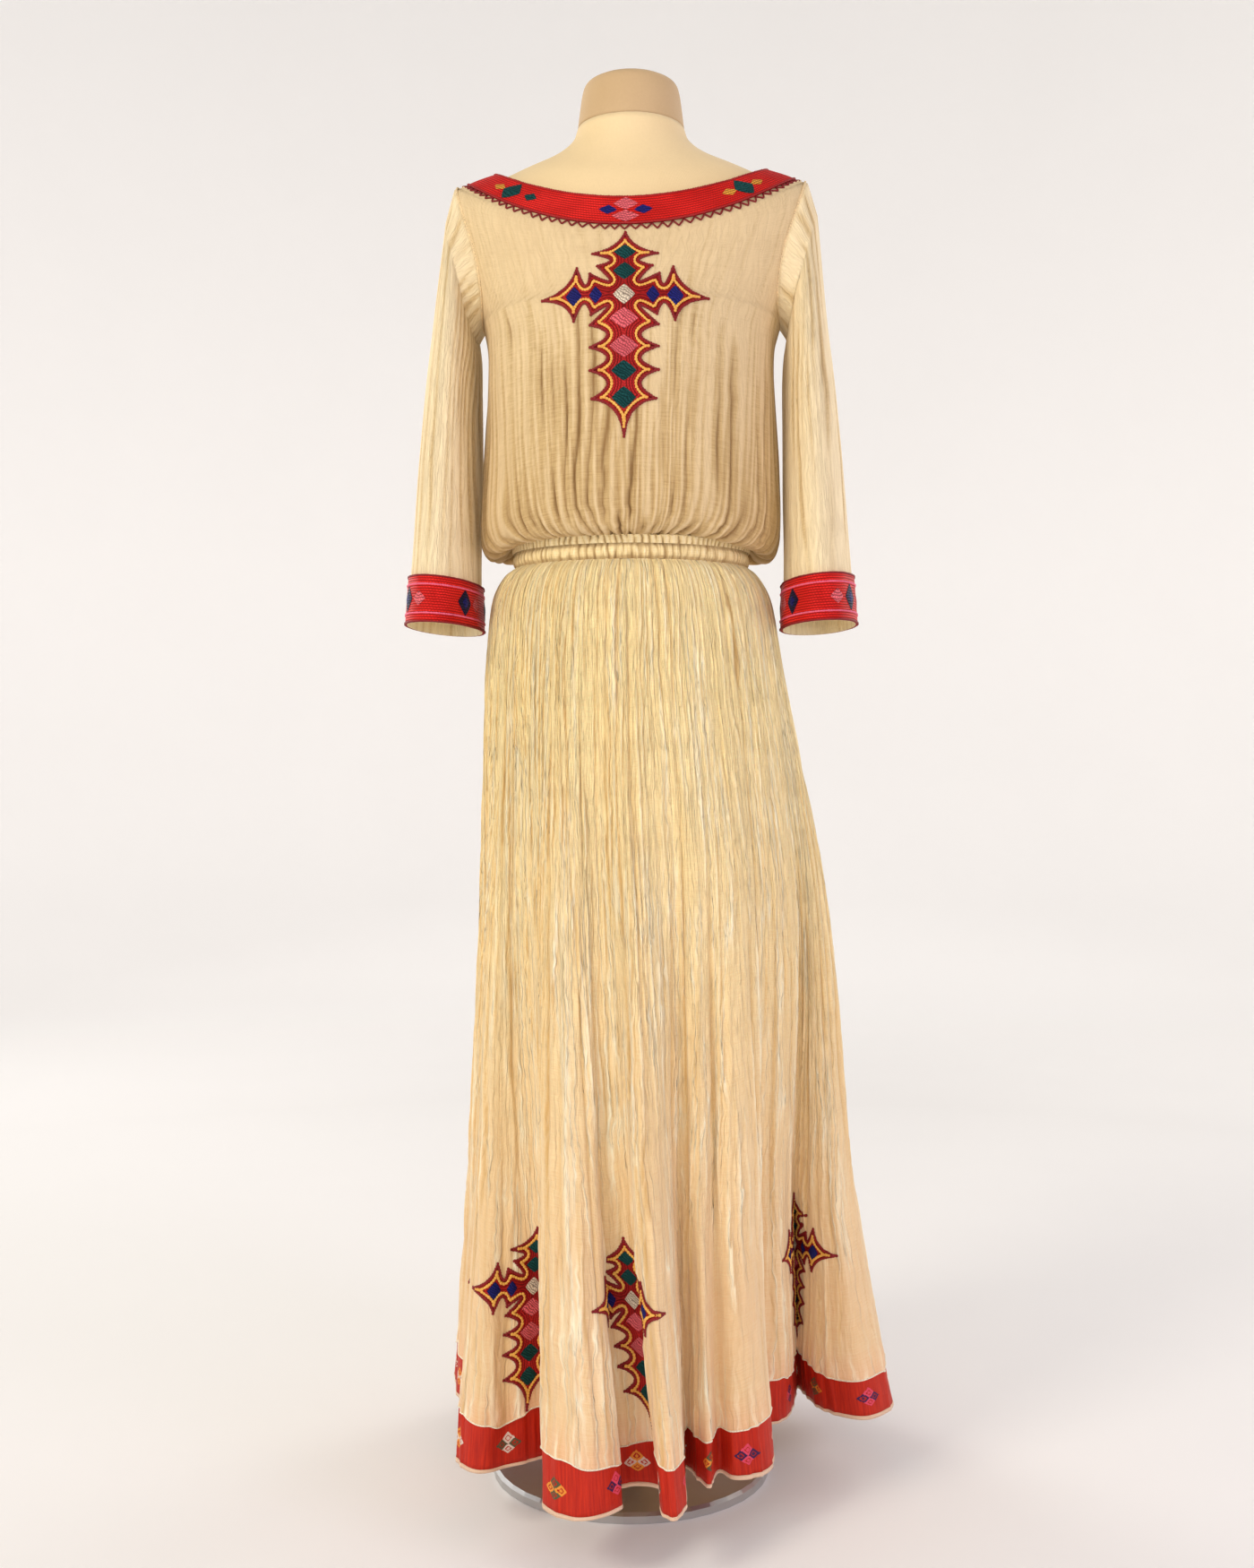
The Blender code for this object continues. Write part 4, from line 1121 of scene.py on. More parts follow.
HemCross = namedtuple("HemCross", "half share lean up")      # lean is the run to the right for each metre up
HEM_CROSSES = [
    HemCross("front", 0.096, 0.0, 0.0), HemCross("front", 0.2350, 0.15, 0.0),
    HemCross("front", 0.4470, -0.09, 0.006), HemCross("front", 0.8575, 0.0, 0.004),
    HemCross("back", 0.2146, 0.03, 0.0), HemCross("back", 0.576, -0.05, 0.0),
    HemCross("back", 0.862, 0.04, 0.0),
]
HEM_CROSS_SCALE = 0.83
HEM_CROSS_Z = 0.2200
HEM_RUN = {"front": 1.43, "back": 0.99}      # length of the hem


def skirt_height(half, rise, share):
    seed = 201 if half == "front" else 251
    z = skirt_z(rise)
    below = (CASING_LOW - z) * 10       # tenths of a metre below the casing
    ridges = share * SKIRT_RIDGES[half]
    strong = np.interp(z, [0.06, 0.12, 0.25, 0.45, 0.70, 0.86, 0.900, 0.9127],
                       [1.2, 2.1, 2.9, 3.0, 2.7, 2.5, 2.1, 1.1])
    folds = creases(seed, ridges, below * 0.55, sharp=0.6, depth=(0.0, 1.0))
    fine = np.interp(z, [0.06, 0.12, 0.30, 0.50, 0.75, 0.88, 0.91], [1.8, 3.2, 3.6, 3.0, 2.0, 1.4, 0.5])
    lines, shade = raised_lines(seed + 20, share * SKIRT_LINES[half], below * 1.1)
    swell = 1.6 * ripple(seed + 30, share * 17, below * 0.5) * np.interp(z, [0.06, 0.3, 0.8, 0.9],
                                                                         [1.3, 1, 0.5, 0])
    seam = np.clip(np.minimum(share, 1 - share) / 0.008, 0, 1)
    girth = HEM_RUN[half] * np.interp(z, [0.115, 0.27, 0.38], [0.90, 0.68, 0.56])
    calm = np.ones_like(z)
    for row in HEM_CROSSES:
        if row.half == half:
            calm -= 0.75 * near_cross((share - row.share) * girth, z - HEM_CROSS_Z - row.up, HEM_CROSS_SCALE)
    height = (strong * (folds - 0.72) + fine * (lines - 0.2) + swell) * MM * seam * np.clip(calm, 0.2, 1)
    # Painted highlight on the pleats' crests, painted shade in troughs and at the pleats' feet.
    crest = np.clip(fine, 0, 1) * lines ** 2 * np.clip(calm, 0.2, 1)
    trough = 0.60 * np.clip(strong / 2.2, 0, 1) * (1 - folds) + np.interp(z, [0.3, 0.7],
                                                                          [0.5, 0.9]) * np.clip(fine, 0,
                                                                                                1) * shade
    return height, np.clip(0.80 - trough, 0, 0.80) + 0.20 * crest


def skirt_cloth(half, rise, share, lift=0.0):
    height, deep = skirt_height(half, rise, share)
    n = skirt_out(half, rise, share)
    return skirt_base(half, rise, share) + n * (WALL / 2 + height + lift)[..., None], deep


def over_band(rise):
    """How much further out the gauze lies where it laps the band."""
    return np.interp(rise, [0.8, 1.0, 1.35], [1.35, 1.25, 0.0]) * MM


def gauze_edge(half, share):
    """The rise of the gauze's lower edge along the hem: it laps the band, and dips here and there."""
    seed = 301 if half == "front" else 351
    dip = 0.07 * (1 + ripple(seed, share * 26, 0)) + 0.10 * np.clip(ripple(seed + 1, share * 60, 0) - 0.3,
                                                                    0, 1)
    seam = np.clip(np.minimum(share, 1 - share) / 0.02, 0, 1)
    return 1.0 - LAP * 0.5 - dip * seam


SKIRT_COLUMNS = {"front": 720, "back": 470}
SKIRT_ROWS = np.concatenate([np.linspace(0, 0.12, 18), np.linspace(0.12, 0.62, 61)[1:],
                             np.linspace(0.62, 1, 51)[1:]])
for half in HALVES:
    up, share = grid_of(SKIRT_ROWS, np.linspace(0, 1, SKIRT_COLUMNS[half] + 1))
    edge = gauze_edge(half, share)
    rise = edge + (HEM_LEVEL - edge) * up
    grid, deep = skirt_cloth(half, rise, share, over_band(rise))
    piece = cloth_piece(f"gauze_skirt_{half}", grid, flat_map(grid), None, GAUZE, deep)
    finish_piece(piece, "cotton_gauze", f"skirt_{half}")
    print(piece.name, "area", round(surface_area(grid), 4), "m2, faces", len(piece.data.polygons))

# %% [markdown]
# # Thread: chain stitch on the cloth
# All the ornament is embroidered in chain stitch with thick soft cotton: rows of small loops lie side by
# side and fill a shape. A shader group draws these rows from a map that runs along them: a round ridge for
# each row and a V for each loop. Every thread colour is its own material with its own values for that one
# group.

# %% The chain stitch group
ROW_PITCH = 2.6 * MM
LOOP_LENGTH = 2.6 * MM


def build_stitch_group():
    tree, given, out = new_group(
        "chain_stitch",
        [("Vector", None), ("Row Pitch", ROW_PITCH), ("Loop Length", LOOP_LENGTH), ("Wander", 0.5)],
        ["Height", "Groove", "Strand"],
    )
    along, across = split(tree, given["Vector"])[:2]
    bend = minus(tree, noise(tree, given["Vector"], 95.0, 2), 0.5)
    row = plus(tree, divided(tree, across, given["Row Pitch"]), times(tree, bend, given["Wander"]))
    ridge = wave(tree, row, math.pi)
    off_middle = calc(tree, "ABSOLUTE", minus(tree, calc(tree, "FRACT", row), 0.5))
    number = minus(tree, divided(tree, along, given["Loop Length"]), times(tree, off_middle, 1.3))
    number = plus(tree, number, times(tree, calc(tree, "FLOOR", row), 0.37))
    loop = wave(tree, number, math.pi)
    height = plus(tree, times(tree, calc(tree, "POWER", ridge, 0.6), 0.7),
                  times(tree, calc(tree, "POWER", loop, 0.5), 0.3))
    fibre = noise(tree, stretched(tree, given["Vector"], (500, 2600, 1)), 1.0, 2)
    feed(tree, out["Height"], plus(tree, height, times(tree, fibre, 0.12)))
    feed(tree, out["Groove"], minus(tree, 1.0, times(tree, calc(tree, "POWER", ridge, 0.7),
                                                     plus(tree, 0.45, times(tree, loop, 0.55))),
                                    clamp=True))
    feed(tree, out["Strand"], fibre)
    return tree


STITCH = build_stitch_group()


def thread_material(name, colour, wander=0.5):
    """Embroidery thread in rows. The grooves between rows get painted shade, and single fibres a painted
    highlight.
    """
    made, tree, shader = new_material(name, 0.5, sheen=0.03, specular=0.12,
                                      sheen_tint=toned(colour, 1.0, 0.35))
    place = uv_of(tree)
    stitch = use_group(tree, STITCH, Vector=place, Wander=wander)
    patchy = noise(tree, place, 26.0, 4)
    light = toned(colour, 1.3, 0.008)
    tone = blend_colours(tree, spread(tree, patchy, 0.36, 0.64), toned(colour, 0.72), light)
    # Painted highlight: single fibres are mixed towards the lighter colour.
    tone = blend_colours(tree, times(tree, spread(tree, stitch["Strand"], 0.35, 0.75), 0.4), tone, light)
    # Painted shade: the grooves between rows take a darker colour.
    into(shader, "Base Color", blend_colours(tree, times(tree, stitch["Groove"], 1.25, clamp=True), tone,
                                             toned(colour, 0.30)))
    into(shader, "Roughness", plus(tree, 0.42, times(tree, stitch["Groove"], 0.30)))
    into(shader, "Normal", bump(tree, stitch["Height"], 0.8 * MM))
    return made


THREADS = {
    "red": (0.90, 0.014, 0.010), "crimson": (0.42, 0.009, 0.009), "yellow": (0.88, 0.36, 0.045),
    "green": (0.0015, 0.065, 0.065), "blue": (0.010, 0.013, 0.17), "pink": (0.84, 0.13, 0.155),
    "white": (0.84, 0.66, 0.50), "navy": (0.008, 0.007, 0.045),
}
THREAD = {colour: thread_material(f"thread_{colour}", value) for colour, value in THREADS.items()}
THREAD_WILD = {colour: thread_material(f"thread_{colour}_filled", THREADS[colour], wander=3.4)
               for colour in ("pink", "white", "blue", "green")}
print("threads:", ", ".join(THREAD))

# %% [markdown]
# # Places on the cloth
# A motif is drawn flat, in metres right and up from its centre, and then carried onto the cloth. Each carrier
# below turns flat positions into the surface's own numbers, so that a stitched shape follows the creases and
# folds under it and stays on the surface from every side.

# %% Carriers
NECK_COLUMNS, NECK_ROWS = 241, 161
PLACE_LEVELS = 24               # levels of the skirt at which shares are worked out


def chest_place(x, z):
    """Bodice row and angle of the points at x and height z on the front."""
    rows = np.linspace(0, NECKLINE_ROW, 121)
    t = np.interp(z, ring_points(BODICE_RINGS, rows, np.zeros_like(rows))[:, 2], rows)
    for _ in range(8):
        half_width = smooth_between(BODICE_RINGS, t)[..., 3]
        angle = np.arcsin(np.clip(x / half_width, -0.95, 0.95))
        here = ring_points(BODICE_RINGS, t, angle)[..., 2]
        slope = (ring_points(BODICE_RINGS, t + 0.02, angle)[..., 2] - here) / 0.02
        t = np.clip(t + (z - here) / np.maximum(slope, 1e-4), 1.5, NECKLINE_ROW)
    return t, angle


def neck_tables(facing):
    """For one half's neckline: angles, the run along the band's middle, rows, and their depths."""
    angles = half_round(NECK_COLUMNS, facing)
    t = np.linspace(NECKLINE_ROW, NECKLINE_ROW - 4, NECK_ROWS)
    grid = ring_points(BODICE_RINGS, *np.meshgrid(t, angles, indexing="ij"))
    depth = np.concatenate([np.zeros((1, NECK_COLUMNS)),
                            np.cumsum(np.linalg.norm(np.diff(grid, axis=0), axis=2), axis=0)])
    middle = np.array([[np.interp(NECK_BAND_WIDTH / 2, depth[:, c], grid[:, c, k]) for k in range(3)]
                       for c in range(NECK_COLUMNS)])
    run = run_along(middle)
    return angles, run - run[NECK_COLUMNS // 2], t, depth


NECK_TABLES = {half: neck_tables(facing) for half, (_, facing) in HALVES.items()}


def neck_place(half, along, below):
    """Bodice row and angle at a run along the neck band from its middle and a depth below the neckline."""
    angles, run, rows, depth = NECK_TABLES[half]
    along, below = np.broadcast_arrays(np.asarray(along, float), np.asarray(below, float))
    column = np.interp(along, run, np.arange(len(run)))
    low = np.clip(column.astype(int), 0, len(run) - 2)
    f = column - low
    flat_below, t = below.ravel(), np.empty(below.size)
    for n, (c, g) in enumerate(zip(low.ravel(), f.ravel())):
        line = depth[:, c] * (1 - g) + depth[:, c + 1] * g
        t[n] = np.interp(flat_below[n], line, rows)
    return t.reshape(below.shape), np.interp(along, run, angles)


def skirt_place(half, share0, z0, x, y):
    """Skirt rise and share of points x along the cloth and y up from a centre."""
    fine_rise = np.linspace(0, HEM_LEVEL, 400)
    rise = np.interp(z0 + y, skirt_z(fine_rise), fine_rise)
    shares = np.linspace(max(share0 - 0.22, 0), min(share0 + 0.22, 1), 361)
    levels = np.linspace(rise.min(), rise.max(), PLACE_LEVELS)
    found = np.empty((PLACE_LEVELS,) + rise.shape)
    for n, level in enumerate(levels):
        line = skirt_base(half, np.full_like(shares, level), shares)
        run = run_along(line)
        run -= np.interp(share0, shares, run)
        found[n] = np.interp(x, run, shares)
    last = PLACE_LEVELS - 1
    number = np.clip((rise - levels[0]) / (levels[-1] - levels[0]) * last, 0, last - 0.001)
    low = number.astype(int)
    f = number - low
    pick = np.indices(rise.shape)
    return rise, found[(low, *pick)] * (1 - f) + found[(low + 1, *pick)] * f


CUFF_TURNS = np.linspace(0, 2 * math.pi, 361)
CUFF_RUN = run_along(sleeve_base(np.full_like(CUFF_TURNS, 0.5), CUFF_TURNS))
print("cuff girth, mm:", round(CUFF_RUN[-1] / MM), "neck band run, mm:", [
    round(float(NECK_TABLES[half][1][-1] * 2 / MM)) for half in HALVES])

# %% [markdown]
# # Bands at the neck and wrists
# A strip of solid chain stitch, 31 mm wide, lies on the bodice along the whole neckline, and a 48 mm one
# makes each cuff. Their rows run lengthwise. They are laid on the cloth as their own grids, with the thread
# of the rows as bump, because a dozen rows of loops would be far finer than the mesh.

# %% Neck bands
BAND_STEPS = 13
NECK_PIECES = {}


def neck_band_cloth(half, along, below, lift):
    """Points just above the bodice at a place on the neck band."""
    t, angle = neck_place(half, along, below)
    n = bodice_out(t, angle)
    waves = 0.25 * MM * ripple(411, along / 0.02, below / 0.03)
    return bodice_base(t, angle) + n * (WALL + BAND_GAP + BAND_WALL / 2 + waves + lift)[..., None], n


for half in HALVES:
    run = NECK_TABLES[half][1]
    below, along = grid_of(np.linspace(NECK_BAND_WIDTH, 0, BAND_STEPS), np.linspace(run[0], run[-1], 181))
    edge_roll = -0.45 * MM * (np.abs(below / NECK_BAND_WIDTH * 2 - 1) ** 8)
    grid, _ = neck_band_cloth(half, along, below, edge_roll)
    flat = np.stack([along, NECK_BAND_WIDTH - below], axis=-1)
    piece = cloth_piece(f"stitched_neck_band_{half}", grid, flat, BAND_WALL, THREAD["red"])
    finish_piece(piece, "embroidered_band", f"neck_band_{half}")
    NECK_PIECES[half] = piece
    print(piece.name, "faces", len(piece.data.polygons))

# %% Cuffs
CUFF_RISES = np.linspace(0, 1.5, 61)
CUFF_TOP = float(np.interp(CUFF_WIDTH, run_along(sleeve_base(CUFF_RISES, np.full(61, 1.2))), CUFF_RISES))
CUFF_PIECES = {}


def cuff_cloth(side, run, up, lift):
    """Points on a cuff at a run around it and a height above its edge."""
    turn = np.interp(run % CUFF_RUN[-1], CUFF_RUN, CUFF_TURNS)
    rise = up / CUFF_WIDTH * CUFF_TOP
    n = sleeve_out(rise, turn)
    waves = 0.35 * MM * ripple(431 if side == "left" else 441, turn * 5, up / 0.04)
    point = sleeve_base(rise, turn) + n * (WALL + SEAM_GAP + BAND_WALL / 2 + 0.4 * MM + waves + lift)[...,
                                                                                                      None]
    if side == "right":
        point, n = point * (-1, 1, 1), n * (-1, 1, 1)
    return point, n


for side in SLEEVES:
    up, run = grid_of(np.linspace(0, CUFF_WIDTH, 15), np.linspace(0, CUFF_RUN[-1], 150, endpoint=False))
    edge_roll = -0.4 * MM * np.abs(up / CUFF_WIDTH * 2 - 1) ** 10
    grid, _ = cuff_cloth(side, run, up, edge_roll)
    if side == "right":
        grid = grid[:, ::-1]
    flat = np.stack([np.concatenate([run, np.full((len(run), 1), CUFF_RUN[-1])], axis=1), closed_up(up)],
                    axis=-1)
    piece = cloth_piece(f"stitched_cuff_{side}", grid, flat, BAND_WALL, THREAD["red"], closed=True)
    finish_piece(piece, "embroidered_band", f"cuff_{side}")
    CUFF_PIECES[side] = piece
print("cuffs:", ", ".join(piece.name for piece in CUFF_PIECES.values()))

# %% [markdown]
# # The woven hem band
# The hem is a bought strip of shuttle-woven cloth, 55 mm wide: red cotton with a silky weft, small
# four-diamond clusters woven into it every 66 mm, and a cream selvage along the bottom. Woven motifs have
# stepped edges, so the shader snaps the map to a fine grid before it measures the diamonds. A group turns a
# place in a cluster into masks, and the material gives each cluster its own pair of colours.

# %% Woven diamonds
MOTIF_EVERY = 66 * MM
MOTIF_WIDE, MOTIF_HIGH = 13.6 * MM, 11.6 * MM
WEAVE_STEP = 0.95 * MM


def build_diamond_group():
    tree, given, out = new_group(
        "woven_diamonds", [("Vector", None), ("Every", MOTIF_EVERY), ("Middle", 0.027)],
        ["Pair One", "Pair Two", "Core", "Number"],
    )
    u, v = split(tree, given["Vector"])[:2]
    stepped = [times(tree, calc(tree, "FLOOR", divided(tree, place, WEAVE_STEP)), WEAVE_STEP)
               for place in (u, v)]
    number = calc(tree, "FLOOR", divided(tree, stepped[0], given["Every"]))
    x = minus(tree, minus(tree, stepped[0], times(tree, number, given["Every"])),
              times(tree, given["Every"], 0.5))
    y = minus(tree, stepped[1], given["Middle"])
    far_x, far_y = calc(tree, "ABSOLUTE", x), calc(tree, "ABSOLUTE", y)

    def diamond(dx, dy):
        across = divided(tree, calc(tree, "ABSOLUTE", minus(tree, far_x, dx)), MOTIF_WIDE / 2)
        up = divided(tree, calc(tree, "ABSOLUTE", minus(tree, far_y, dy)), MOTIF_HIGH / 2)
        return plus(tree, across, up)

    upper, side_one = diamond(0.0, MOTIF_HIGH * 0.50), diamond(MOTIF_WIDE * 0.50, 0.0)
    masks, cores = [], []
    for size in (upper, side_one):
        inside = calc(tree, "LESS_THAN", size, 1.0)
        ring = calc(tree, "GREATER_THAN", size, 0.55)
        heart = calc(tree, "LESS_THAN", size, 0.34)
        masks.append(times(tree, inside, calc(tree, "MAXIMUM", ring, heart)))
        cores.append(times(tree, inside, minus(tree, 1.0, calc(tree, "MAXIMUM", ring, heart))))
    feed(tree, out["Pair One"], masks[0])
    feed(tree, out["Pair Two"], masks[1])
    feed(tree, out["Core"], calc(tree, "MAXIMUM", *cores))
    feed(tree, out["Number"], number)
    return tree


DIAMONDS = build_diamond_group()
PAIRS = [   # colours of the upright and of the side diamonds, cluster by cluster
    ((0.85, 0.30, 0.03), (0.80, 0.66, 0.55)), ((0.10, 0.10, 0.045), (0.88, 0.33, 0.04)),
    ((0.80, 0.07, 0.13), (0.045, 0.012, 0.075)), ((0.86, 0.33, 0.04), (0.80, 0.64, 0.54)),
    ((0.82, 0.68, 0.58), (0.11, 0.10, 0.05)), ((0.045, 0.012, 0.075), (0.70, 0.06, 0.10)),
]


def ramp_of(tree, factor, colours):
    made = shader_node(tree, "ShaderNodeValToRGB")
    made.color_ramp.interpolation = "CONSTANT"
    for n, colour in enumerate(colours):
        entry = made.color_ramp.elements[n] if n < 2 else made.color_ramp.elements.new(n / len(colours))
        entry.position = n / len(colours)
        entry.color = (*colour, 1)
    feed(tree, made.inputs[0], factor)
    return made.outputs[0]


def woven_band_material():
    made, tree, shader = new_material("woven_red_band", 0.6, sheen=0.05, specular=0.22,
                                      sheen_tint=(1, 0.4, 0.3))
    place = uv_of(tree)
    u, v = split(tree, place)[:2]
    rib = wave(tree, u, math.pi / (1.1 * MM))
    pick = wave(tree, v, math.pi / (0.8 * MM))
    streak = noise(tree, stretched(tree, place, (520, 22, 1)), 1.0, 3)
    bars = noise(tree, stretched(tree, place, (16, 260, 1)), 1.0, 3)
    ground = blend_colours(tree, spread(tree, streak, 0.3, 0.7), (0.42, 0.012, 0.004), (0.66, 0.030, 0.007))
    ground = blend_colours(tree, times(tree, spread(tree, bars, 0.45, 0.75), 0.35), ground,
                           (0.54, 0.026, 0.013))
    woven = use_group(tree, DIAMONDS, Vector=place)
    turn = calc(tree, "FRACT", divided(tree, plus(tree, woven["Number"], 600.5), float(len(PAIRS))))
    tone = blend_colours(tree, woven["Pair One"], ground, ramp_of(tree, turn, [pair[0] for pair in PAIRS]))
    tone = blend_colours(tree, woven["Pair Two"], tone, ramp_of(tree, turn, [pair[1] for pair in PAIRS]))
    tone = blend_colours(tree, times(tree, times(tree, rib, pick), 0.25), tone, (0.20, 0.012, 0.012),
                         "MULTIPLY")
    into(shader, "Base Color", tone)
    motif = calc(tree, "MAXIMUM", woven["Pair One"], woven["Pair Two"])
    into(shader, "Roughness", plus(tree, 0.48, times(tree, bars, 0.18)))
    height = plus(tree, times(tree, calc(tree, "MAXIMUM", rib, pick), 0.5),
                  plus(tree, times(tree, motif, 1.1), times(tree, streak, 0.6)))
    into(shader, "Normal", bump(tree, height, 0.28 * MM))
    return made


def plain_weave_material(name, colour, dark):
    made, tree, shader = new_material(name, 0.85, sheen=0.2, specular=0.25)
    place = uv_of(tree)
    weave = use_group(tree, WEAVE, Vector=place, Pitch=0.8 * MM)
    into(shader, "Base Color", blend_colours(tree, spread(tree, weave["Slub"], 0.3, 0.7), dark, colour))
    into(shader, "Normal", bump(tree, weave["Height"], 0.2 * MM))
    return made


WOVEN_RED = woven_band_material()
SELVAGE = plain_weave_material("cream_selvage", (0.86, 0.62, 0.44), (0.70, 0.45, 0.30))
print("woven diamonds every", MOTIF_EVERY / MM, "mm")

# %% Hem bands
SELVAGE_RISE = 0.065            # the selvage's height in levels
BACK_MAP_START = 1.44           # the back's map begins where the front's ends
HEM_SHARES = np.linspace(0, 1, 801)


def hem_flat(half, rise, share):
    """Flat map of the hem: run along the hem from the panel's middle, and height in metres."""
    line = skirt_base(half, np.zeros_like(HEM_SHARES), HEM_SHARES)
    run = run_along(line)
    start = 0.0 if half == "front" else BACK_MAP_START
    return np.stack([np.interp(share, HEM_SHARES, run) + start, rise * HEM_BAND_WIDTH], axis=-1)


def hem_rise_waves(half, share):
    return 0.02 * ripple(371 if half == "front" else 381, share * 30, 0)


for half in HALVES:
    columns = SKIRT_COLUMNS[half] + 1
    up, share = grid_of(np.linspace(0, 1, 10), np.linspace(0, 1, columns))
    low = SELVAGE_RISE + hem_rise_waves(half, share)
    rise = low + (1.03 - low) * up
    grid, deep = skirt_cloth(half, rise, share)
    piece = cloth_piece(f"woven_hem_band_{half}", grid, hem_flat(half, rise, share), CLOTH, WOVEN_RED, deep)
    finish_piece(piece, "woven_band", f"hem_band_{half}")
    up, share = grid_of(np.linspace(0, 1, 3), np.linspace(0, 1, columns))
    low = SELVAGE_RISE + hem_rise_waves(half, share)
    rise = 0.006 + low * up
    grid, deep = skirt_cloth(half, rise, share, 0.35 * MM * np.sin(math.pi * up))
    edge = cloth_piece(f"selvage_{half}", grid, hem_flat(half, rise, share), 0.9 * MM, SELVAGE, deep)
    finish_piece(edge, "woven_band")
    print(piece.name, "faces", len(piece.data.polygons) + len(edge.data.polygons))

# %% [markdown]
# # The stitched cross
# A tall cross with flared, pointed arms stands on the chest, and smaller ones stand round the hem. Its
# outline is a chain of sharp cusps joined by hollow arcs, the same on both sides. It is drawn here from a
# short table of cusps: each row names the next cusp and the point that the arc between them passes through.
# A second line runs inside it at a set distance, found by moving each point inwards and dropping those that
# come too near an edge.

# %% The outline
# mm; the arc from the cusp before passes through
CuspRow = namedtuple("CuspRow", "x y through_x through_y")
CROSS_TOP = (0.0, 65.0)
CROSS_RIGHT = [
    CuspRow(31, 43, 11, 50.5), CuspRow(26, 30, 13.5, 36), CuspRow(33, 22, 13.5, 13.5),
    CuspRow(46, 29, 37.5, 10.5), CuspRow(79, 0, 57, 10), CuspRow(48, -24, 58, -8),
    CuspRow(31, -19, 38.5, -7.5), CuspRow(32, -29, 14.5, -11.5), CuspRow(32, -50, 15.5, -39),
    CuspRow(32, -72, 15.5, -61), CuspRow(30, -99, 15.5, -84.5), CuspRow(0, -135, 9, -110),
]
ARC_STEPS = 18


def cross_half():
    """Arcs of the right side from the top to the bottom tip, each a list of points in metres."""
    arcs, start = [], np.array(CROSS_TOP)
    for row in CROSS_RIGHT:
        end, through = np.array((row.x, row.y), float), np.array((row.through_x, row.through_y), float)
        control = 2 * through - (start + end) / 2
        f = np.linspace(0, 1, ARC_STEPS + 1)[:, None]
        arcs.append((start * (1 - f) ** 2 + 2 * control * f * (1 - f) + end * f ** 2) * MM)
        start = end
    return arcs


def whole_cross():
    right = cross_half()
    left = [(arc * (-1, 1))[::-1] for arc in right[::-1]]
    return right + left            # clockwise from the top tip


def within(points, outline):
    """True for each point inside a closed outline."""
    start, end = outline, np.roll(outline, -1, axis=0)
    rise = end[:, 1] - start[:, 1]
    passes = (start[None, :, 1] > points[:, None, 1]) != (end[None, :, 1] > points[:, None, 1])
    across = (end[:, 0] - start[:, 0]) / np.where(rise == 0, 1e-12, rise)
    left = points[:, None, 0] < across[None] * (points[:, None, 1] - start[None, :, 1]) + start[None, :, 0]
    return (passes & left).sum(axis=1) % 2 == 1


def closed_loop(arcs):
    return np.concatenate([arc[:-1] for arc in arcs])


def inside_line(arcs, distance, from_tip):
    """Runs of points at a distance inside the outline, cut where they would cross and led up into each cusp, to
    from_tip away from its point."""
    loop = closed_loop(arcs)
    runs = []
    for arc in arcs:
        step = np.gradient(arc, axis=0)
        inward = np.stack([step[:, 1], -step[:, 0]], axis=-1)
        inward /= np.linalg.norm(inward, axis=-1, keepdims=True)
        moved = arc + inward * distance
        gap = np.linalg.norm(moved[:, None] - loop[None], axis=-1).min(axis=1)
        runs.append(moved[(gap > distance * 0.965) & within(moved, loop)])
    led = []
    for n in range(len(arcs)):
        meeting = (runs[n - 1][-1] + runs[n][0]) / 2
        inward = meeting - arcs[n][0]
        depth = np.linalg.norm(inward)
        led.append(arcs[n][0] + inward * min(from_tip / depth, 1.0))
    return [np.concatenate([[led[n]], run, [led[(n + 1) % len(runs)]]]) for n, run in enumerate(runs)]


CROSS_ARCS = whole_cross()
CROSS_INNER = inside_line(CROSS_ARCS, 4.2 * MM, 9.0 * MM)
outline_run = sum(run_along(arc)[-1] for arc in CROSS_ARCS)
print("cross outline, mm:", round(float(outline_run / MM)), "arcs:", len(CROSS_ARCS), "inner runs:",
      len(CROSS_INNER))

# %% Its diamonds
DiamondRow = namedtuple("DiamondRow", "thread x y wide high")    # mm
CROSS_DIAMONDS = [
    DiamondRow("green", 0, 44, 21, 15.5), DiamondRow("green", 0, 24, 22, 18),
    DiamondRow("white", 0, 0, 20.5, 20.5), DiamondRow("pink", 0, -23.5, 27, 20),
    DiamondRow("pink", 0, -50, 27, 21.5), DiamondRow("green", 0, -73, 24, 19.5),
    DiamondRow("green", 0, -98.5, 23, 21), DiamondRow("blue", 48, 0, 15.5, 20),
    DiamondRow("blue", 27, 0, 12.5, 17.5), DiamondRow("blue", -48, 0, 15.5, 20),
    DiamondRow("blue", -27, 0, 12.5, 17.5),
]


DIAMOND_STEPS = 7               # points on each side
DIAMOND_FULLNESS = 1.12         # 1 has straight sides, 2 is an ellipse
DIAMOND_NET = 2.6 * MM


def diamond_outline(wide, high):
    """A diamond with slightly full sides, as stitches pull it."""
    turn = np.linspace(0, 2 * math.pi, 4 * DIAMOND_STEPS, endpoint=False)
    c, s = np.cos(turn), np.sin(turn)
    reach = (np.abs(c) ** DIAMOND_FULLNESS + np.abs(s) ** DIAMOND_FULLNESS) ** (-1 / DIAMOND_FULLNESS)
    return np.stack([c * reach * wide / 2, s * reach * high / 2], axis=-1)


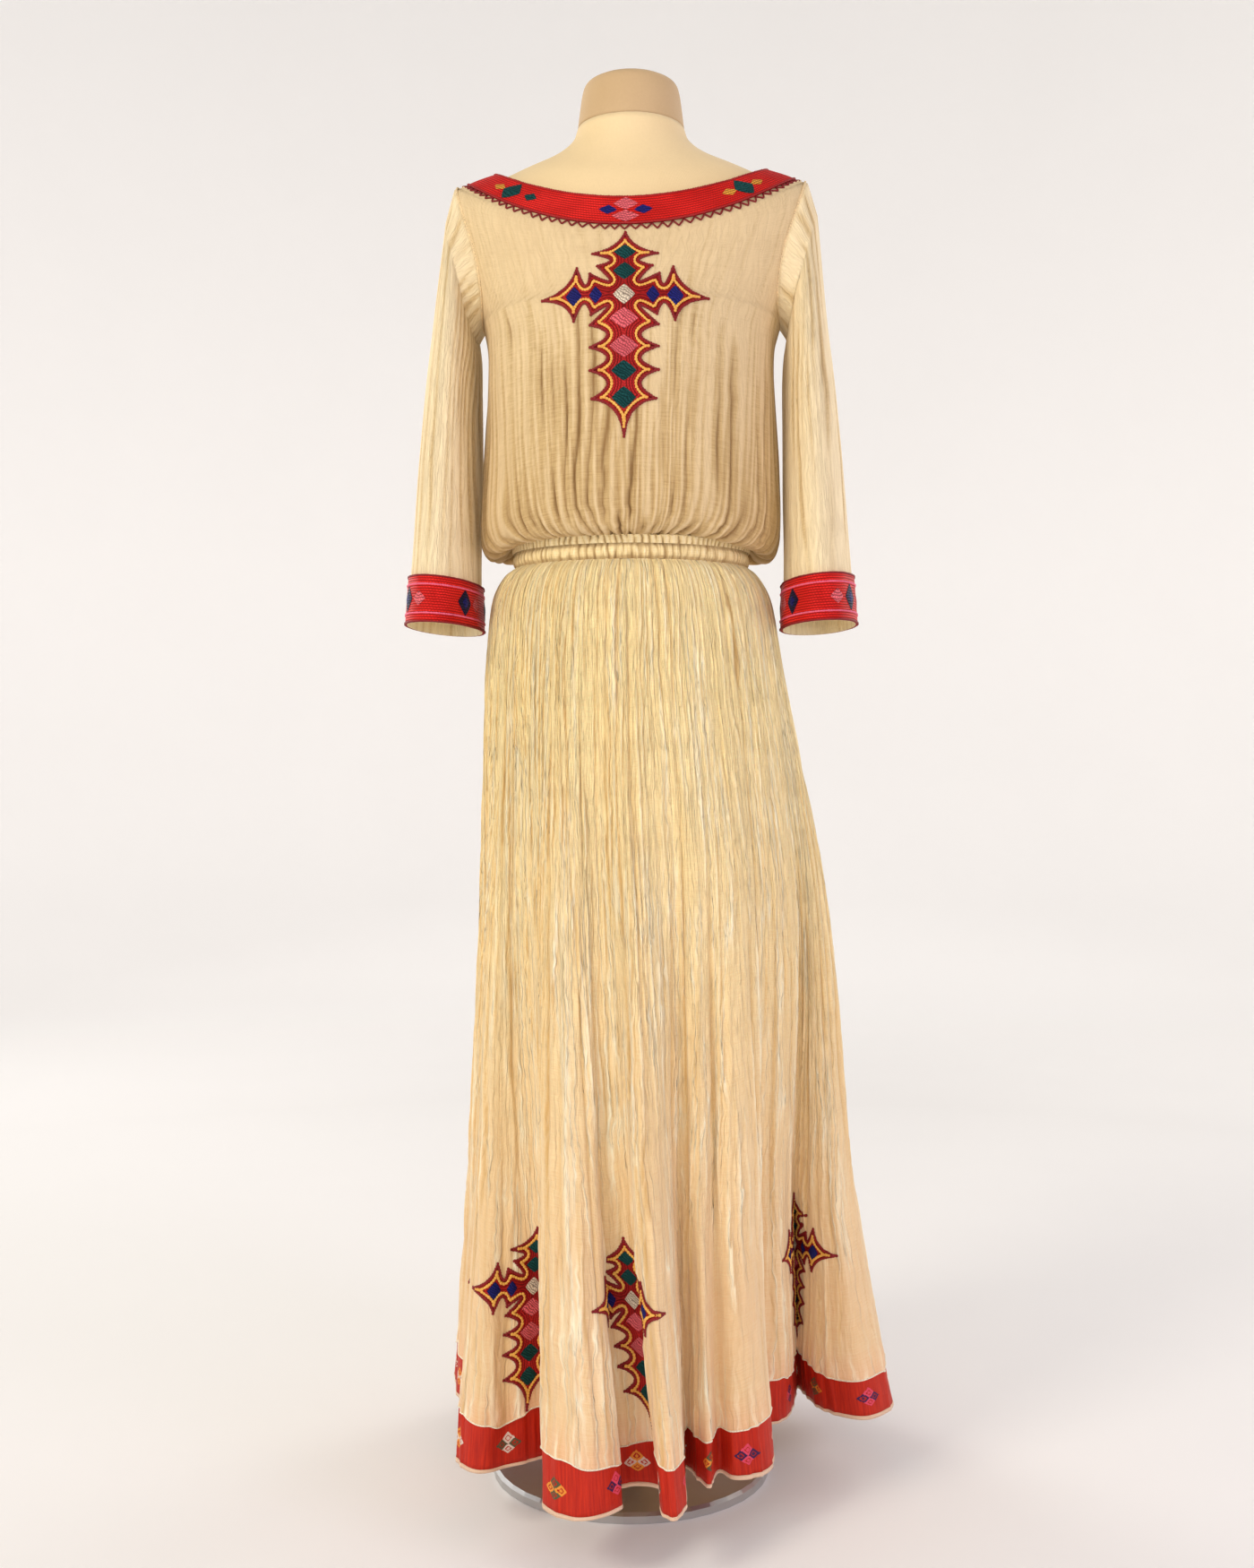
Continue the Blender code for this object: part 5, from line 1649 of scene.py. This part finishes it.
# %% A flat shape filled with triangles
def triangulated(outline, spacing):
    """Points and triangles that fill an outline, with an even net inside it."""
    low, high = outline.min(axis=0), outline.max(axis=0)
    xs, ys = np.arange(low[0], high[0], spacing), np.arange(low[1], high[1], spacing * 0.87)
    net = np.array([(x + (n % 2) * spacing / 2, y) for n, y in enumerate(ys) for x in xs])
    inside = within(net, outline)
    clear = edge_distance(net, outline) > spacing * 0.45
    net = net[inside & clear]
    points = [Vector(p) for p in np.concatenate([outline, net])]
    edges = [(n, (n + 1) % len(outline)) for n in range(len(outline))]
    points, _, faces, _, _, _ = geometry.delaunay_2d_cdt(points, edges, [list(range(len(outline)))], 1, 1e-7)
    return np.array([tuple(p) for p in points]), [tuple(f) for f in faces]


def edge_distance(points, outline):
    """Distance from each point to a closed outline."""
    start, end = outline, np.roll(outline, -1, axis=0)
    step = end - start
    f = ((points[:, None] - start[None]) * step[None]).sum(-1) / np.maximum((step ** 2).sum(-1), 1e-18)[None]
    near = start[None] + step[None] * np.clip(f, 0, 1)[..., None]
    return np.linalg.norm(points[:, None] - near, axis=-1).min(axis=1)


def filled_diamond(row, rim):
    """A row's diamond about its own centre: points, triangles, each point's distance from the edge as a
    share of the rim, and its thread."""
    shape = diamond_outline(row.wide * MM, row.high * MM)
    flat, faces = triangulated(shape, DIAMOND_NET)
    crown = np.clip(edge_distance(flat, shape) / rim, 0, 1)
    return flat, faces, crown, THREAD_WILD.get(row.thread, THREAD[row.thread])


def stitched_mesh(name, parts):
    """One object of several filled shapes. Each part gives its flat points, faces, places, map and material."""
    points, faces, uvs, slots, materials = [], [], [], [], []
    for flat_faces, places, flat_uv, material in parts:
        if material not in materials:
            materials.append(material)
        start = len(points)
        points += places.tolist()
        uvs += flat_uv.tolist()
        faces += [tuple(start + n for n in face) for face in flat_faces]
        slots += [materials.index(material)] * len(flat_faces)
    mesh = new_mesh(name, points, [], faces)
    layer = mesh.uv_layers.new(name="cloth")
    corners = np.empty(len(mesh.loops), int)
    mesh.loops.foreach_get("vertex_index", corners)
    layer.data.foreach_set("uv", np.array(uvs, np.float32)[corners].ravel())
    for material in materials:
        mesh.materials.append(material)
    mesh.polygons.foreach_set("material_index", slots)
    mesh.shade_smooth()
    obj = add_object(name, mesh)
    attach(obj, "root")
    return obj


cross_points, cross_faces = triangulated(closed_loop(CROSS_ARCS), 3.2 * MM)
print("cross net:", len(cross_points), "points,", len(cross_faces), "triangles")

# %% [markdown]
# # Stitches along a line
# The cross has two thick lines of chain stitch, maroon at its edge and yellow inside, and each is hundreds
# of equal loops that follow a path. That is work for Geometry Nodes: the path is a mesh of edges that
# carries the cloth's normal at each point, the tree spaces points along it, sets one small loop on each,
# turned to the path and the cloth, and then makes them real with their material. A second tree draws a
# plain round thread along a path.

# %% One loop of chain stitch
def loop_mesh():
    """A teardrop loop, 1 unit long and wide, pressed flat, with a groove down its middle."""
    stations = [(-0.62, 0.22, 0.10), (-0.22, 0.40, 0.75), (0.28, 0.50, 1.0), (0.62, 0.22, 0.15)]
    points, faces = [], []
    for x, half, height in stations:
        points += [(x, -half, -0.2), (x, -half * 0.6, height), (x, 0.0, height * 0.6),
                   (x, half * 0.6, height), (x, half, -0.2)]
    for n in range(len(stations) - 1):
        for k in range(4):
            a, b = n * 5 + k, (n + 1) * 5 + k
            faces.append((a, b, b + 1, a + 1))
    mesh = new_mesh("stitch_loop", points, [], faces)
    mesh.shade_smooth()
    return bpy.data.objects.new("stitch_loop", mesh)


STITCH_LOOP = loop_mesh()


def tree_node(tree, kind, **settings):
    made = tree.nodes.new(kind)
    for key, value in settings.items():
        setattr(made, key, value)
    return made


def new_tree(name, numbers):
    tree = bpy.data.node_groups.new(name, "GeometryNodeTree")
    tree.interface.new_socket("Geometry", in_out="INPUT", socket_type="NodeSocketGeometry")
    for label, kind in numbers:
        tree.interface.new_socket(label, in_out="INPUT", socket_type="NodeSocket" + kind)
    tree.interface.new_socket("Geometry", in_out="OUTPUT", socket_type="NodeSocketGeometry")
    return tree, tree_node(tree, "NodeGroupInput").outputs, tree_node(tree, "NodeGroupOutput").inputs[0]


def build_stitch_tree():
    tree, given, out = new_tree("stitches_along_a_line", [
        ("Stitch Length", "Float"), ("Stitch Width", "Float"), ("Stitch Height", "Float"), ("Seed", "Int"),
        ("Loop", "Object"), ("Thread", "Material")])
    link = tree.links.new
    curve = tree_node(tree, "GeometryNodeMeshToCurve")
    spaced = tree_node(tree, "GeometryNodeResampleCurve", mode="LENGTH")
    normal = tree_node(tree, "GeometryNodeInputNamedAttribute", data_type="FLOAT_VECTOR")
    normal.inputs["Name"].default_value = "cloth_normal"
    tangent = tree_node(tree, "GeometryNodeInputTangent")
    turned = tree_node(tree, "FunctionNodeAxesToRotation", primary_axis="Z", secondary_axis="X")
    loop = tree_node(tree, "GeometryNodeObjectInfo")
    jitter = tree_node(tree, "FunctionNodeRandomValue", data_type="FLOAT")
    jitter.inputs[2].default_value, jitter.inputs[3].default_value = 0.86, 1.14
    size = tree_node(tree, "ShaderNodeCombineXYZ")
    scaled = tree_node(tree, "ShaderNodeVectorMath", operation="SCALE")
    placed = tree_node(tree, "GeometryNodeInstanceOnPoints")
    real = tree_node(tree, "GeometryNodeRealizeInstances")
    thread = tree_node(tree, "GeometryNodeSetMaterial")
    link(given["Geometry"], curve.inputs[0])
    link(curve.outputs[0], spaced.inputs["Curve"])
    link(given["Stitch Length"], spaced.inputs["Length"])
    link(spaced.outputs[0], placed.inputs["Points"])
    link(given["Loop"], loop.inputs["Object"])
    link(loop.outputs["Geometry"], placed.inputs["Instance"])
    link(normal.outputs["Attribute"], turned.inputs[0])
    link(tangent.outputs[0], turned.inputs[1])
    link(turned.outputs[0], placed.inputs["Rotation"])
    link(given["Seed"], jitter.inputs["Seed"])
    for n, label in enumerate(("Stitch Length", "Stitch Width", "Stitch Height")):
        link(given[label], size.inputs[n])
    link(size.outputs[0], scaled.inputs[0])
    link(jitter.outputs[1], scaled.inputs["Scale"])
    link(scaled.outputs[0], placed.inputs["Scale"])
    link(placed.outputs[0], real.inputs[0])
    link(real.outputs[0], thread.inputs["Geometry"])
    link(given["Thread"], thread.inputs["Material"])
    link(thread.outputs[0], out)
    return tree


def build_round_thread_tree():
    tree, given, out = new_tree("round_thread_along_a_line", [
        ("Step", "Float"), ("Radius", "Float"), ("Sides", "Int"), ("Thread", "Material")])
    link = tree.links.new
    curve = tree_node(tree, "GeometryNodeMeshToCurve")
    spaced = tree_node(tree, "GeometryNodeResampleCurve", mode="LENGTH")
    ring = tree_node(tree, "GeometryNodeCurvePrimitiveCircle")
    tube = tree_node(tree, "GeometryNodeCurveToMesh")
    tube.inputs["Fill Caps"].default_value = True
    real = tree_node(tree, "GeometryNodeRealizeInstances")
    smooth = tree_node(tree, "GeometryNodeSetShadeSmooth")
    thread = tree_node(tree, "GeometryNodeSetMaterial")
    link(given["Geometry"], curve.inputs[0])
    link(curve.outputs[0], spaced.inputs["Curve"])
    link(given["Step"], spaced.inputs["Length"])
    link(given["Sides"], ring.inputs["Resolution"])
    link(given["Radius"], ring.inputs["Radius"])
    link(spaced.outputs[0], tube.inputs["Curve"])
    link(ring.outputs[0], tube.inputs["Profile Curve"])
    link(tube.outputs[0], smooth.inputs["Geometry"])
    link(smooth.outputs[0], real.inputs[0])
    link(real.outputs[0], thread.inputs["Geometry"])
    link(given["Thread"], thread.inputs["Material"])
    link(thread.outputs[0], out)
    return tree


STITCH_TREE, THREAD_TREE = build_stitch_tree(), build_round_thread_tree()
print("trees:", STITCH_TREE.name, THREAD_TREE.name)


# %% Running a tree on a path
def path_object(name, runs, normals):
    """A mesh of edges through runs of points, with the cloth's normals as an attribute."""
    points, edges = [], []
    for run in runs:
        edges += [(len(points) + n, len(points) + n + 1) for n in range(len(run) - 1)]
        points += run.tolist()
    mesh = new_mesh(name, points, edges, [])
    made = mesh.attributes.new("cloth_normal", "FLOAT_VECTOR", "POINT")
    made.data.foreach_set("vector", np.concatenate(normals).astype(np.float32).ravel())
    return add_object(name, mesh)


def grown(name, path, tree, slot, **values):
    """The plain mesh that a tree makes from a path. The path and its modifier are removed."""
    grow = path.modifiers.new("grow", "NODES")
    grow.node_group = tree
    for entry in tree.interface.items_tree:
        label = entry.name.replace(" ", "_")
        if entry.in_out == "INPUT" and label in values:
            grow[entry.identifier] = values[label]
    graph = bpy.context.evaluated_depsgraph_get()
    mesh = bpy.data.meshes.new_from_object(path.evaluated_get(graph), preserve_all_data_layers=True,
                                           depsgraph=graph)
    path.modifiers.remove(grow)
    bpy.data.objects.remove(path)
    mesh.name = name
    obj = add_object(name, mesh)
    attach(obj, "root")
    return finish_piece(obj, slot)


def stitch_rows(name, laid, seed, width, height, thread):
    """Rows of loops along lines on the cloth. Each line is its points and normals; sizes are in mm."""
    path = path_object(name + "_path", *zip(*laid))
    return grown(name, path, STITCH_TREE, "embroidered_band", Stitch_Length=LOOP_LENGTH,
                 Stitch_Width=width * MM, Stitch_Height=height * MM, Seed=seed, Loop=STITCH_LOOP,
                 Thread=thread)


def round_cord(name, slot, points, normals, step, radius, sides, thread):
    """A round thread along one line on the cloth, with sizes in mm."""
    path = path_object(name + "_path", [points], [normals])
    piece = grown(name, path, THREAD_TREE, slot, Step=step * MM, Radius=radius * MM, Sides=sides,
                  Thread=thread)
    print(piece.name, "faces", len(piece.data.polygons))


def solid_thread(name, colour, fibre_scale=1500.0):
    """Plain twisted thread for the raised lines, read from object space."""
    made, tree, shader = new_material(name, 0.6, sheen=0.08, specular=0.3,
                                      sheen_tint=toned(colour, 1.0, 0.35))
    place = object_space(tree)
    fibre = noise(tree, place, fibre_scale, 2)
    patch = noise(tree, place, 70.0, 2)
    light = toned(colour, 1.25, 0.01)
    tone = blend_colours(tree, spread(tree, fibre, 0.3, 0.7), toned(colour, 0.6), light)
    into(shader, "Base Color", blend_colours(tree, times(tree, spread(tree, patch, 0.4, 0.7), 0.4), tone,
                                             light))
    into(shader, "Roughness", plus(tree, 0.45, times(tree, fibre, 0.2)))
    into(shader, "Normal", bump(tree, fibre, 0.15 * MM))
    return made


MAROON_LINE = solid_thread("maroon_cord", (0.23, 0.003, 0.006))
YELLOW_LINE = solid_thread("yellow_cord", (0.98, 0.44, 0.08))
GAUZE_LINE = solid_thread("cream_thread", (0.80, 0.60, 0.34), 900.0)
ROLLED_LINE = solid_thread("rolled_edge_thread", (0.95, 0.74, 0.56), 900.0)


# %% Laying a cross
def lay_cross(name, scale, place_flat, cloth, seed, base_surface_normal):
    """A whole cross on the cloth. place_flat turns flat metres into the surface's numbers, and cloth gives the
    points there at a lift above the cloth."""
    def on_cloth(flat, lift):
        numbers = place_flat(flat[:, 0] * scale, flat[:, 1] * scale)
        return cloth(*numbers, lift), base_surface_normal(*numbers)

    distance = edge_distance(cross_points, closed_loop(CROSS_ARCS))
    pad = np.clip(distance / (2.2 * MM), 0, 1)
    ground, _ = on_cloth(cross_points, (0.35 + 0.65 * pad) * MM)
    ground_map = np.stack([cross_points[:, 1] + cross_points[:, 0] * 0.35, distance], axis=-1)
    parts = [(cross_faces, ground, ground_map, THREAD["crimson"])]
    for row in CROSS_DIAMONDS:
        flat, faces, crown, thread = filled_diamond(row, 3.0 * MM)
        centre = np.array((row.x, row.y)) * MM
        places, _ = on_cloth(flat + centre, (1.1 + 0.75 * crown) * MM)
        parts.append((faces, places, (flat + centre) @ np.array([[0.8, 0.6], [-0.6, 0.8]]), thread))
    body = stitched_mesh(f"{name}_ground", parts)
    finish_piece(body, "embroidered_band")
    count = len(body.data.polygons)
    for label, arcs, lift, line in (("edge", CROSS_ARCS, 0.8, MAROON_LINE),
                                    ("inner", CROSS_INNER, 1.1, YELLOW_LINE)):
        laid = [on_cloth(arc, np.full(len(arc), lift * MM)) for arc in arcs]
        count += len(stitch_rows(f"{name}_{label}", laid, seed, 3.0, 1.1, line).data.polygons)
    print(name, "faces", count)


def chest_cloth(t, angle, lift=0.0):
    return bodice_cloth(t, angle, lift)[0]


lay_cross("chest_cross", 1.0, lambda x, y: chest_place(x, CHEST_CROSS_Z + y), chest_cloth, 501,
          lambda t, angle: outward(chest_cloth, t, angle, NECKLINE_ROW, 10.0))

# %% Crosses round the hem
def lay_hem_cross(number, row):
    lay_cross(
        f"hem_cross_{number}", HEM_CROSS_SCALE,
        lambda x, y: skirt_place(row.half, row.share, HEM_CROSS_Z + row.up, x + row.lean * y, y),
        lambda rise, share, lift: skirt_cloth(row.half, rise, share, lift + over_band(rise))[0], 510 + number,
        lambda rise, share: outward(lambda a, b: skirt_cloth(row.half, a, b)[0], rise, share, HEM_LEVEL, 0.5),
    )


for number, row in enumerate(HEM_CROSSES):
    lay_hem_cross(number, row)

# %% [markdown]
# # Motifs on the bands
# In the red neck band sit small stitched diamonds: a pink pair one above the other with a blue one on each
# side at the front centre, and a dark-green one with yellow neighbours near each shoulder. The cuffs carry
# navy diamonds with pink ones between them. They use the same flat diamond as the cross, laid by the bands'
# own carriers.

# %% Band diamonds
BandRow = namedtuple("BandRow", "thread along middle wide high")    # mm, middle measured from the upper edge
NECK_DIAMONDS = [
    BandRow("pink", 0, 8.6, 25, 13.5), BandRow("pink", 0, 22.4, 25, 13.5),
    BandRow("blue", -17.0, 15.5, 18, 10.0), BandRow("blue", 17.0, 15.5, 18, 10.0),
    BandRow("green", -99, 15.5, 15, 10.0), BandRow("yellow", 106, 15.5, 17, 9.0),
    BandRow("green", 124, 15.5, 22, 25.0), BandRow("green", -124, 15.5, 22, 25.0),
    BandRow("yellow", 142, 15.5, 17, 9.0), BandRow("yellow", -142, 15.5, 17, 9.0),
]
NECK_DIAMONDS_BACK = [
    BandRow("pink", 0, 8.2, 24, 15.0), BandRow("pink", 0, 22.8, 24, 15.0),
    BandRow("blue", -18.5, 15.5, 18, 10.0), BandRow("blue", 18.5, 15.5, 18, 10.0),
    BandRow("green", -95, 15.5, 22, 25.0), BandRow("green", 95, 15.5, 22, 25.0),
    BandRow("yellow", 77, 15.5, 17, 9.0), BandRow("yellow", -77, 15.5, 17, 9.0),
    BandRow("yellow", 113, 15.5, 17, 9.0), BandRow("yellow", -113, 15.5, 17, 9.0),
]


def band_diamonds(name, rows, carry):
    """The rows' diamonds as one piece. carry gives places for points along and below, and a lift."""
    parts = []
    for row in rows:
        flat, faces, crown, thread = filled_diamond(row, 2.5 * MM)
        places = carry(flat[:, 0] + row.along * MM, row.middle * MM - flat[:, 1], (1.0 + 0.40 * crown) * MM)
        parts.append((faces, places, flat + np.array((row.along, -row.middle)) * MM, thread))
    return finish_piece(stitched_mesh(name, parts), "embroidered_band")


for half, rows in (("front", NECK_DIAMONDS), ("back", NECK_DIAMONDS_BACK)):
    piece = band_diamonds(f"neck_diamonds_{half}", rows,
                          lambda along, below, lift: neck_band_cloth(half, along, below, lift)[0])
    print(piece.name, "faces", len(piece.data.polygons))

CUFF_CLUSTERS = 5
cuff_diamonds, cuff_hearts = [], []
for n in range(CUFF_CLUSTERS):
    along = (n + 0.5) * CUFF_RUN[-1] / MM / CUFF_CLUSTERS
    cuff_diamonds += [BandRow("navy", along, 24, 24, 27.0), BandRow("pink", along - 24, 24, 15, 15.0)]
    cuff_hearts.append(BandRow("blue", along, 24, 11, 12.0))


def cuff_carry(side, more):
    def carry(along, below, lift):
        return cuff_cloth(side, along, CUFF_WIDTH - below, lift + more)[0]
    return carry


for side in SLEEVES:
    for label, rows, more in (("cuff_diamonds", cuff_diamonds, 0.0), ("cuff_hearts", cuff_hearts, 0.5 * MM)):
        piece = band_diamonds(f"{label}_{side}", rows, cuff_carry(side, more))
        if side == "right":
            piece.data.flip_normals()
print("cuff diamonds:", len(cuff_diamonds) + len(cuff_hearts), "on each cuff")

# %% [markdown]
# # Edgings
# The last fine things are lines of thread: a dark-red zigzag that edges the neck band, pink lines on the
# cuffs, the rolled lower edge of the gauze where it laps the band, and the armhole seams. Each is a path on
# the cloth given to one of the two trees.

# %% Zigzag under the neck band
ZIGZAG_EVERY = 9.2 * MM
ZIGZAG_DEEP = 5.8 * MM
ZIGZAG_LINE = solid_thread("dark_red_cord", (0.20, 0.005, 0.007))

for half in HALVES:
    ends = NECK_TABLES[half][1]
    along = np.linspace(ends[0], ends[-1], int((ends[-1] - ends[0]) / (0.5 * MM)))
    phase = along / ZIGZAG_EVERY + 0.12 * ripple(601, along / 0.02, 0)
    below = NECK_BAND_WIDTH - 0.6 * MM + ZIGZAG_DEEP * np.abs(1 - 2 * (phase % 1)) ** 0.85 * (
        1 + 0.15 * ripple(602, along / 0.015, 0))
    t, angle = neck_place(half, along, below)
    line = bodice_cloth(t, angle, 0.85 * MM)[0]
    round_cord(f"neck_zigzag_{half}", "embroidered_band", line, bodice_out(t, angle), 1.1, 0.95, 5,
               ZIGZAG_LINE)

# %% Rows along the edges of the bands
for half in HALVES:
    ends = NECK_TABLES[half][1]
    along = np.linspace(ends[0], ends[-1], 260)
    laid = [neck_band_cloth(half, along, np.full_like(along, depth), 0.6 * MM)
            for depth in (0.6 * MM, NECK_BAND_WIDTH - 0.8 * MM)]
    stitch_rows(f"neck_edge_rows_{half}", laid, 7, 1.9, 0.8,
                solid_thread(f"red_cord_{half}", (0.34, 0.008, 0.009)))
for side in SLEEVES:
    run = np.linspace(0, CUFF_RUN[-1], 300)
    for label, heights, line in (("pink", (9.5, 38.5), solid_thread(f"pink_cord_{side}", (0.80, 0.12, 0.22))),
                                 ("dark", (0.9, 47.2), MAROON_LINE)):
        laid = [cuff_cloth(side, run, np.full_like(run, up * MM), 0.75 * MM) for up in heights]
        stitch_rows(f"cuff_{label}_rows_{side}", laid, 9, 2.0, 0.9, line)
print("edge rows laid")

# %% Rolled edge of the gauze
for half in HALVES:
    share = np.linspace(0, 1, 1201)
    edge = gauze_edge(half, share)
    line = skirt_cloth(half, edge, share, over_band(edge))[0]
    round_cord(f"gauze_rolled_edge_{half}", "cotton_gauze", line, skirt_out(half, edge, share), 2.2, 0.85,
               6, ROLLED_LINE)

# %% Armhole seams
for side in SLEEVES:
    turn = np.linspace(0, 2 * math.pi, 241)
    seam_line = armhole_loop(turn, 1.0 * WALL)
    normals = sleeve_out(np.full_like(turn, 6.5), turn)
    if side == "right":
        seam_line, normals = seam_line * (-1, 1, 1), normals * (-1, 1, 1)
    round_cord(f"armhole_seam_{side}", "cotton_gauze", seam_line, normals, 2.4, 1.2, 8, GAUZE_LINE)

# %% [markdown]
# # What the cloth is cut from
# The flat piece that each half of the skirt was cut to before it was gathered and hung is listed below, with
# its area, and nothing is done with it. Lengths are those of the built pieces. The skirt's areas are those of
# panels that flare from waist to hem, because its gathers are shallower than a straight width would need.

# %% Sheets
for half in HALVES:
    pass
for half, flat, area in (("front", (1.50, 0.86), 0.80), ("back", (1.05, 0.86), 0.62)):
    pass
